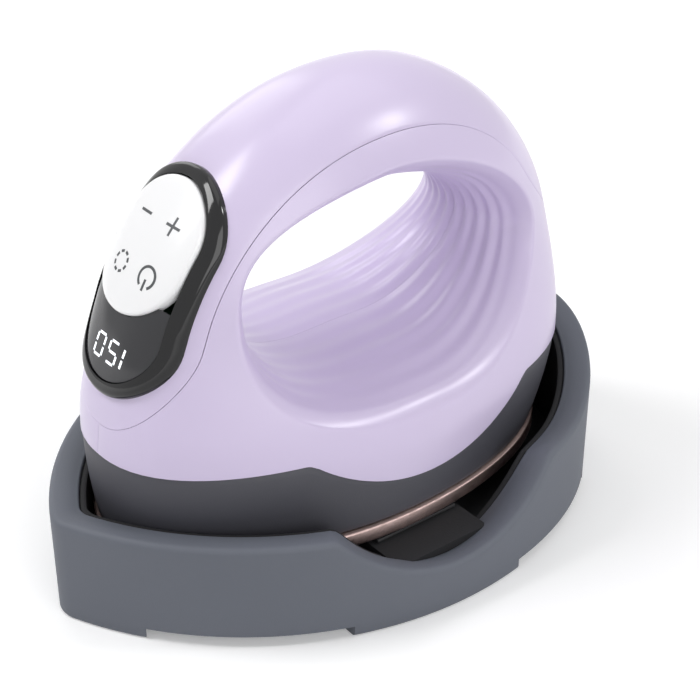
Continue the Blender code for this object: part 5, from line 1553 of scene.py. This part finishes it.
@dataclass
class LowerHousing:
    """The dark skirt under the shells and the rose-gold plate below it."""

    form: PressForm
    step_in: float = 0.0003
    wall: float = 0.0020
    ledge_top: float = 0.0223
    ledge_thick: float = 0.0016
    ledge_reach: float = 0.0045
    top_gap: float = 0.00010
    stations: int = 150
    plate_foot: float = 0.0126
    plate_proud: float = 0.0006
    plate_round: float = 0.0007
    post_radius: float = 0.0030
    screw_hole: float = 0.0018
    screw_grip: float = 0.0045
    small_hole: float = 0.0013
    foot_soft: float = 0.0004
    plate_ring: float = 0.009

    def angles(self) -> list[float]:
        """Returns plan angles from nose to tail."""
        return [math.pi * step / self.stations for step in range(self.stations + 1)]

    def top_z(self, angle: float) -> float:
        """Finds the skirt's upper edge at a plan angle.

        Args:
            angle: The plan angle.

        Returns:
            The edge's height.
        """
        z = self.form.edge_line_z
        for _ in range(SEARCHES):
            z = self.form.edge_z(self.form.plan_point(z, angle).y) - self.top_gap
        return z

    def skirt(self) -> None:
        """Builds the skirt: a wall with a softened foot and the ledge inside."""
        form = self.form
        foot = form.plate_top_z + FIT
        tops = {angle: self.top_z(angle) for angle in self.angles()}
        soft = self.foot_soft
        rings = []

        def add(depth: float, height: Callable[[float], float]) -> None:
            """Adds one ring at a depth, with a height for each plan angle."""
            half = [form.plan_point(height(angle), angle, depth) for angle in tops]
            rings.append(mirrored(half))

        add(self.step_in + soft, lambda angle: foot)
        add(self.step_in + soft * 0.3, lambda angle: foot + soft * 0.3)
        for step in range(13):
            add(self.step_in, lambda angle: mix(foot + soft, tops[angle] - soft / 2, step / 12))
        add(self.step_in + soft / 3, lambda angle: tops[angle])
        add(self.wall, lambda angle: tops[angle])
        low = self.ledge_top - self.ledge_thick
        reach = self.wall + self.ledge_reach
        for z, depth in ((self.ledge_top, self.wall), (self.ledge_top, reach), (low, reach),
                         (low, self.wall), (foot, self.wall)):
            add(depth, lambda angle: z)
        piece = ring_piece("skirt_wall", rings, SKIRT_GREY, Body.PRESS, "skirt_housing", wrap=True)
        join(piece, screw_rods("skirt_screw", low - FIT, self.ledge_top + FIT, self.small_hole, 20),
             Join.CUT)

    def plate(self) -> None:
        """Builds the pressing plate with its posts and screw holes."""
        form = self.form
        top = form.plate_top_z
        edge = self.plate_round
        steps = [(self.plate_foot, self.plate_ring)]
        for angle in quarter(6):
            steps.append((self.plate_foot + edge * (1 - math.cos(angle)),
                          edge * (1 - math.sin(angle))))
        steps += [(top - edge / 2, 0.0), (top - edge / 6, edge / 6), (top, edge / 2)]
        rings = []
        for z, inset in steps:
            half = []
            for angle in self.angles():
                spot = form.plan_point(top, angle, inset - self.plate_proud)
                half.append(Vector((max(spot.x, 0.0), spot.y, z)))
            rings.append(mirrored(half))
        piece = ring_piece("pressing_plate", rings, ROSE_METAL, Body.PRESS, "sole_plate")
        posts = screw_rods("plate_screw", (self.plate_foot + top) / 2, self.ledge_top,
                           self.post_radius)
        holes = screw_rods("plate_screw", self.ledge_top - self.screw_grip - FIT,
                           self.ledge_top + OVERRUN, self.screw_hole, 24)
        join(piece, posts, Join.FUSE)
        join(piece, holes, Join.CUT)

    def build(self) -> None:
        """Builds skirt and plate."""
        self.skirt()
        self.plate()


@dataclass
class CordGland:
    """The cord gland at the tail: a sleeve with a flange outside and one inside."""

    bore: float = 0.0030
    flange: float = 0.0060
    flange_thick: float = 0.0012
    edge: float = 0.0004
    spin_steps: int = 72
    body = 0.0044

    def profile(self) -> Outline:
        """Finds the section as (radius, y) points, from the box of the CAD node.

        Returns:
            The section's points.
        """
        low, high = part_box("cord_gland")
        inner, outer = low.y, high.y
        edge, thick = self.edge, self.flange_thick
        points = [(self.bore, inner), (self.flange - edge, inner), (self.flange, inner + edge),
                  (self.flange, inner + thick - FIT), (self.body, inner + thick - FIT),
                  (self.body, outer - thick), (self.flange, outer - thick)]
        for angle in quarter(4):
            points.append((self.flange - edge + edge * math.cos(angle),
                           outer - edge + edge * math.sin(angle)))
        return points + [(self.bore + edge, outer), (self.bore, outer - edge)]

    def build(self) -> None:
        """Spins the section round the cord's axis."""
        low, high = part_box("cord_gland")
        z = (low.z + high.z) / 2
        bm = bmesh.new()
        verts = [bm.verts.new((radius, y, z)) for radius, y in self.profile()]
        for first, second in zip(verts, verts[1:] + verts[:1]):
            bm.edges.new((first, second))
        bmesh.ops.spin(bm, geom=bm.verts[:] + bm.edges[:], cent=(0, 0, z), axis=(0, 1, 0),
                       angle=math.tau, steps=self.spin_steps, use_merge=True)
        make_piece("tail_gland", bm, SILICONE, Body.PRESS, ("cord_gland",))


@dataclass
class SafetyBase:
    """The grey base: teardrop wall, side notches, feet, ledges painted black as shade, pads and a
    black liner whose black is partly painted shade.
    """

    form: PressForm
    widest_y: float = 0.0035
    nose_radius: float = 0.0064
    nose_inner: float = 0.0045
    rim: float = 0.0232
    tail_rise: float = 0.0290
    notch_z: float = 0.0104
    notch_radius: float = 0.0336
    notch_blend: float = 0.0016
    rim_wide: float = 0.0054
    rim_spread: float = 0.0030
    rim_drop: float = 0.0008
    rim_slope: float = 0.0022
    rim_round: float = 0.0012
    inner_round: float = 0.4
    pad_soft: float = 0.0002
    floor: float = 0.0045
    under: float = 0.0025
    sole: float = 0.0036
    foot_round: float = 0.0008
    nose_foot: float = 0.0090
    side_foot: tuple[float, float] = (-0.0235, 0.0165)
    tail_foot: float = 0.0150
    liner_thick: float = 0.0012
    steps: tuple[int, int, int] = (16, 64, 44)
    half: float = field(init=False)
    nose: float = field(init=False)
    tail: float = field(init=False)
    tail_rim: float = field(init=False)
    side_arc: float = field(init=False)

    def __post_init__(self) -> None:
        """Takes the outer sizes from the CAD node, and works out the side arcs."""
        low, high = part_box("base_tray")
        self.half, self.nose, self.tail, self.tail_rim = high.x, low.y, high.y, high.z
        reach = self.widest_y - self.nose - self.nose_radius
        across = self.half - self.nose_radius
        self.side_arc = (reach * reach / across + self.half + self.nose_radius) / 2

    def teardrop(self, inset: float) -> Outline:
        """Draws half of the base's outline, from nose to tail.

        Args:
            inset: How far inside the outer wall.

        Returns:
            The half outline's points.
        """
        slack = self.nose_radius - self.nose_inner
        nose_radius = self.nose_radius - inset if inset < slack else self.nose_inner
        half, side = self.half - inset, self.side_arc - inset
        tail = self.tail - self.widest_y - inset
        reach = side - nose_radius
        centre = -math.sqrt(reach ** 2 - (side - half) ** 2)
        turn = math.acos((side - half) / reach)
        points = []
        for step in range(self.steps[0]):
            angle = mix(-math.pi / 2, -turn, step / self.steps[0])
            points.append((nose_radius * math.cos(angle), centre + nose_radius * math.sin(angle)))
        for step in range(self.steps[1]):
            angle = mix(-turn, 0.0, step / self.steps[1])
            points.append((half - side + side * math.cos(angle), side * math.sin(angle)))
        for step in range(self.steps[2] + 1):
            angle = mix(0.0, math.pi / 2, step / self.steps[2])
            x = half * math.cos(angle) if step < self.steps[2] else 0.0
            points.append((x, tail * math.sin(angle)))
        return [(x, y + self.widest_y) for x, y in points]

    def plateau(self, y: float) -> float:
        """Returns the rim's height without its notch, rising behind the tail."""
        share = min(max((y - self.tail + self.tail_rise) / self.tail_rise, 0.0), 1.0)
        return self.rim + (self.tail_rim - self.rim) * share * share

    def rim_z(self, y: float) -> float:
        """Finds the rim's height, with the round notch blended in.

        Args:
            y: Place along Y.

        Returns:
            The rim's height there.
        """
        reach = self.notch_radius ** 2 - y * y
        if reach <= 0:
            return self.plateau(y)
        notch = self.notch_z + self.notch_radius - math.sqrt(reach)
        return soft_min(notch, self.plateau(y), self.notch_blend)

    def notch_share(self, y: float) -> float:
        """Returns how deep in the notch a place is: 0 outside, 1 at its bottom."""
        share = (self.plateau(y) - self.rim_z(y)) / (self.rim - self.notch_z)
        return min(max(share, 0.0), 1.0)

    def ring(self, inset: float, height: Callable[[float], float]) -> Ring:
        """Makes a ring of the wall.

        Args:
            inset: How far inside the outer wall.
            height: Height at each place along Y of the outer wall.

        Returns:
            The closed ring.
        """
        outer = self.teardrop(0.0)
        half = []
        for (x, y), (_, outer_y) in zip(self.teardrop(inset), outer):
            half.append(Vector((x, y, height(outer_y))))
        return mirrored(half)

    def inner_ring(self, extra: float, height: Callable[[float, float], float],
                   part: float = 1.0) -> Ring:
        """Makes a ring near the rim's inner edge, which runs further in at the notch.

        Args:
            extra: How far inside that edge.
            height: Height for a place along Y and its notch share.
            part: Share of the way from the outer round to the inner edge.

        Returns:
            The closed ring.
        """
        half = []
        for index, (_, y) in enumerate(self.teardrop(0.0)):
            share = self.notch_share(y)
            wide = self.rim_wide + self.rim_spread * share
            inset = mix(self.rim_round, wide, part) + extra
            x, inner_y = self.teardrop(inset)[index]
            half.append(Vector((x, inner_y, height(y, share))))
        return mirrored(half)

    def inner_z(self, y: float, share: float) -> float:
        """Returns the height of the rim's inner edge."""
        return self.rim_z(y) - self.rim_drop - self.rim_slope * share

    def tray(self) -> None:
        """Builds the tray with its rounded rim and feet, and the ledges that carry the pads; the
        ledges are painted black as shade under the plate.
        """
        soft, foot = self.rim_round, self.foot_round
        rings = [self.ring(self.sole, lambda y: self.under), self.ring(self.sole, lambda y: 0.0)]
        for angle in quarter(4):
            rings.append(self.ring(foot * (1 - math.sin(angle)),
                                   lambda y: foot * (1 - math.cos(angle))))
        for step in range(8):
            rings.append(self.ring(0.0, lambda y: mix(foot, self.rim_z(y) - soft, (step + 1) / 8)))
        for angle in quarter(6, 1):
            rings.append(self.ring(soft * (1 - math.cos(angle)),
                                   lambda y: self.rim_z(y) - soft * (1 - math.sin(angle))))
        for step in range(1, 9):
            part = step / 8
            rings.append(self.inner_ring(0.0, lambda y, share: mix(
                self.rim_z(y), self.inner_z(y, share), part * part), part))
        edge = soft * self.inner_round
        for angle in quarter(4, 1):
            rings.append(self.inner_ring(edge * math.sin(angle), lambda y, share: self.inner_z(
                y, share) - edge * (1 - math.cos(angle))))
        rings.append(self.inner_ring(edge, lambda y, share: self.floor))
        piece = ring_piece("base_wall", rings, BASE_GREY, Body.BASE, "base_tray")
        join(piece, self.foot_gaps(), Join.CUT)
        # The ledges are grey tray plastic; their black here is painted shade under the plate.
        blocks = self.ledges(0.0, 0.0, self.floor - self.liner_thick)
        make_piece("painted_shade_ledges", blocks, LINER_AND_SHADE_BLACK, Body.BASE)

    def ledge_boxes(self) -> list[tuple[float, float, float, float]]:
        """Finds the plan corners of the four ledges, run into the wall.

        Returns:
            Lowest x and y, then highest x and y, of each ledge.
        """
        pads = [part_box(name + "_rest_pad") for name in ("right", "left", "nose", "tail")]
        margin = self.liner_thick
        wall_x = self.half - self.rim_wide
        nose_wall = self.nose + self.rim_wide
        tail_wall = self.tail - self.rim_wide
        right, left, nose, tail = pads
        return [
            (right[0].x - margin, right[0].y - margin, wall_x, right[1].y + margin),
            (-wall_x, left[0].y - margin, left[1].x + margin, left[1].y + margin),
            (nose[0].x - margin, nose_wall, nose[1].x + margin, nose[1].y + margin),
            (tail[0].x - margin, tail[0].y - margin, tail[1].x + margin, tail_wall),
        ]

    def ledges(self, grow: float, lift: float, foot: float) -> bmesh.types.BMesh:
        """Makes the four ledge blocks.

        Args:
            grow: How much wider than the ledges.
            lift: How much higher.
            foot: Height where they start.

        Returns:
            The blocks' bmesh.
        """
        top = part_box("right_rest_pad")[0].z - FIT + lift
        bm = bmesh.new()
        for low_x, low_y, high_x, high_y in self.ledge_boxes():
            add_box(bm, (low_x - grow, low_y - grow, foot), (high_x + grow, high_y + grow, top))
        return bm

    def foot_gaps(self) -> bmesh.types.BMesh:
        """Finds the spaces under the wall between the feet.

        Returns:
            The helper shape.
        """
        bm = bmesh.new()
        reach = self.half + OVERRUN
        for low, high in ((self.nose + self.nose_foot, self.side_foot[0]),
                          (self.side_foot[1], self.tail - self.tail_foot)):
            add_box(bm, (-reach, low, -OVERRUN), (reach, high, self.under))
        return bm

    def liner(self) -> None:
        """Builds the black liner that covers the inside of the base; its black is partly painted
        shade, the deep shade inside the tray.
        """
        gap = self.rim_round * self.inner_round + FIT / 2
        thick = gap + self.liner_thick
        floor = self.floor + FIT
        drop = self.rim_drop
        rings = [
            self.inner_ring(gap, lambda y, share: floor),
            self.inner_ring(gap, lambda y, share: self.inner_z(y, share) - drop),
            self.inner_ring(gap + FIT, lambda y, share: self.inner_z(y, share) - drop + FIT / 2),
            self.inner_ring(thick - FIT, lambda y, share: self.inner_z(y, share) - drop + FIT / 2),
            self.inner_ring(thick, lambda y, share: self.inner_z(y, share) - drop),
            self.inner_ring(thick, lambda y, share: floor + self.liner_thick),
        ]
        piece = ring_piece("black_liner_and_shade", rings, LINER_AND_SHADE_BLACK, Body.BASE, "base_liner")
        join(piece, self.ledges(FIT, FIT, floor - OVERRUN), Join.CUT)

    def pads(self) -> None:
        """Builds the four heat-proof pads that the plate rests on."""
        for side in ("right", "left", "nose", "tail"):
            node = side + "_rest_pad"
            bm = bmesh.new()
            add_box(bm, *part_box(node))
            soften(bm, self.pad_soft)
            make_piece(side + "_soft_pad", bm, SILICONE, Body.BASE, (node,))

    def build(self) -> None:
        """Builds tray, liner and pads."""
        self.tray()
        self.liner()
        self.pads()


class InnerWorks:
    """Heater, boards, screws and leads: the CAD nodes that stay, dressed by their slots."""

    def build(self) -> None:
        """Gives each shown CAD node the finish of its material slot."""
        finishes = {finish.slot: finish for finish in CAD_FINISHES}
        for entry in frame["record"]["subparts"]:
            node = frame["nodes"][entry["node"]]
            if node.hide_render:
                continue
            for place in node.material_slots:
                place.material = finishes[entry["material_slot"]].material()
            log.info("%s dressed as %s", entry["node"], entry["material_slot"])


@dataclass(frozen=True)
class Softbox:
    """A square area light.

    Attributes:
        name: Its name.
        spot: Where it hangs.
        size: Its width in metres.
        watts: Its power.
    """

    name: str
    spot: tuple[float, float, float]
    size: float
    watts: float

    def build(self, aim: Vector) -> None:
        """Hangs the light and turns it to the aim.

        Args:
            aim: The point that it is turned to.
        """
        data = bpy.data.lights.new(self.name, "AREA")
        data.shape = "SQUARE"
        data.size = self.size
        data.energy = self.watts
        lamp = place_object(self.name, data)
        lamp.location = self.spot
        lamp.rotation_euler = (aim - Vector(self.spot)).to_track_quat("-Z", "Y").to_euler()


@dataclass
class Studio:
    """Camera at the photograph's view, soft lights, pale floor and white background."""

    aim: Vector = field(default_factory=lambda: Vector((0.00957, 0.0, 0.04211)))
    distance: float = 0.32631
    azimuth_deg: float = 51.99
    elevation_deg: float = 30.08
    focal_pixels: float = 1597.93
    ambient: float = 0.36
    floor_size: float = 3.0
    floor_drop: float = 0.00002
    floor_glow: float = 0.20
    near_floor: float = 0.22
    far_floor: float = 0.70
    floor_colour: tuple[float, float, float] = (0.93, 0.93, 0.935)
    lights: tuple[Softbox, ...] = (
        Softbox("key_front", (-0.28, -0.39, 0.61), 0.30, 2.5),
        Softbox("key_left", (-0.72, 0.12, 0.48), 0.36, 0.7),
        Softbox("overhead", (-0.05, 0.20, 0.80), 0.60, 0.9),
        Softbox("side_fill", (0.85, -0.10, 0.40), 0.60, 2.8),
        Softbox("rim_spark", (0.36, 0.42, 0.58), 0.10, 0.8),
    )

    def camera(self) -> None:
        """Sets the camera where the photograph was taken."""
        azimuth, elevation = math.radians(self.azimuth_deg), math.radians(self.elevation_deg)
        back = Vector((math.sin(azimuth) * math.cos(elevation),
                       -math.cos(azimuth) * math.cos(elevation), math.sin(elevation)))
        data = bpy.data.cameras.new("photo_camera")
        data.sensor_width = SENSOR_MM
        data.lens = self.focal_pixels / PHOTO_PIXELS * SENSOR_MM
        camera = place_object("photo_camera", data)
        camera.location = self.aim + back * self.distance
        camera.rotation_euler = (-back).to_track_quat("-Z", "Y").to_euler()
        bpy.context.scene.camera = camera

    @staticmethod
    def seen(tree: Tree) -> Socket:
        """Adds nodes that give 1 for camera, glossy and transmitted rays, else 0.

        Args:
            tree: The tree that takes it.

        Returns:
            The socket.
        """
        path = tree.nodes.new("ShaderNodeLightPath")
        total = path.outputs["Is Camera Ray"]
        for name in ("Is Glossy Ray", "Is Transmission Ray"):
            total = math_node(tree, "MAXIMUM", total, path.outputs[name])
        return total

    def background(self) -> None:
        """Makes the world: white where it is seen, a plain soft level as light."""
        world = bpy.data.worlds.new("white_studio")
        bpy.context.scene.world = world
        world.use_nodes = True
        tree = world.node_tree
        shader = tree.nodes["Background"]
        shader.inputs["Color"].default_value = (1.0, 1.0, 1.0, 1.0)
        level = map_range(tree, self.seen(tree), {"To Min": self.ambient})
        tree.links.new(level, shader.inputs["Strength"])

    def floor(self) -> None:
        """Lays the pale floor, whose own white keeps the object's shadow."""
        bm = bmesh.new()
        bmesh.ops.create_grid(bm, x_segments=4, y_segments=4, size=self.floor_size / 2)
        mesh = bpy.data.meshes.new("pale_floor")
        bm.to_mesh(mesh)
        bm.free()
        floor = place_object("pale_floor", mesh)
        floor.location = (0, 0, -self.floor_drop)
        material = bpy.data.materials.new("pale_floor")
        material.use_nodes = True
        tree = material.node_tree
        shader = tree.nodes["Principled BSDF"]
        shader.inputs["Base Color"].default_value = (*self.floor_colour, 1.0)
        shader.inputs["Roughness"].default_value = 0.9
        shader.inputs["Specular IOR Level"].default_value = 0.1
        shader.inputs["Emission Color"].default_value = (1.0, 1.0, 1.0, 1.0)
        place = tree.nodes.new("ShaderNodeTexCoord")
        far = tree.nodes.new("ShaderNodeVectorMath")
        far.operation = "LENGTH"
        tree.links.new(place.outputs["Object"], far.inputs[0])
        level = map_range(tree, far.outputs["Value"], {
            "From Min": self.near_floor, "From Max": self.far_floor, "To Min": self.floor_glow})
        glow = math_node(tree, "MULTIPLY", self.seen(tree), level)
        tree.links.new(glow, shader.inputs["Emission Strength"])
        mesh.materials.append(material)

    def build(self) -> None:
        """Builds camera, background, floor and lights."""
        bpy.context.scene.view_settings.view_transform = "Standard"
        self.camera()
        self.background()
        self.floor()
        for light in self.lights:
            light.build(self.aim)


def main() -> None:
    """Builds the studio and every sub-assembly."""
    logging.basicConfig(level=logging.INFO, format="%(name)s: %(message)s")
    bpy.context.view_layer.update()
    form = PressForm(crown_z=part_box("spine_cover")[1].z)
    panel = ControlPanel(form)
    Studio().build()
    for assembly in (SafetyBase(form), LowerHousing(form), SideShells(form),
                     SpineCover(form, panel), panel, CordGland(), InnerWorks()):
        assembly.build()
    bpy.context.view_layer.update()


if __name__ == "__main__":
    main()
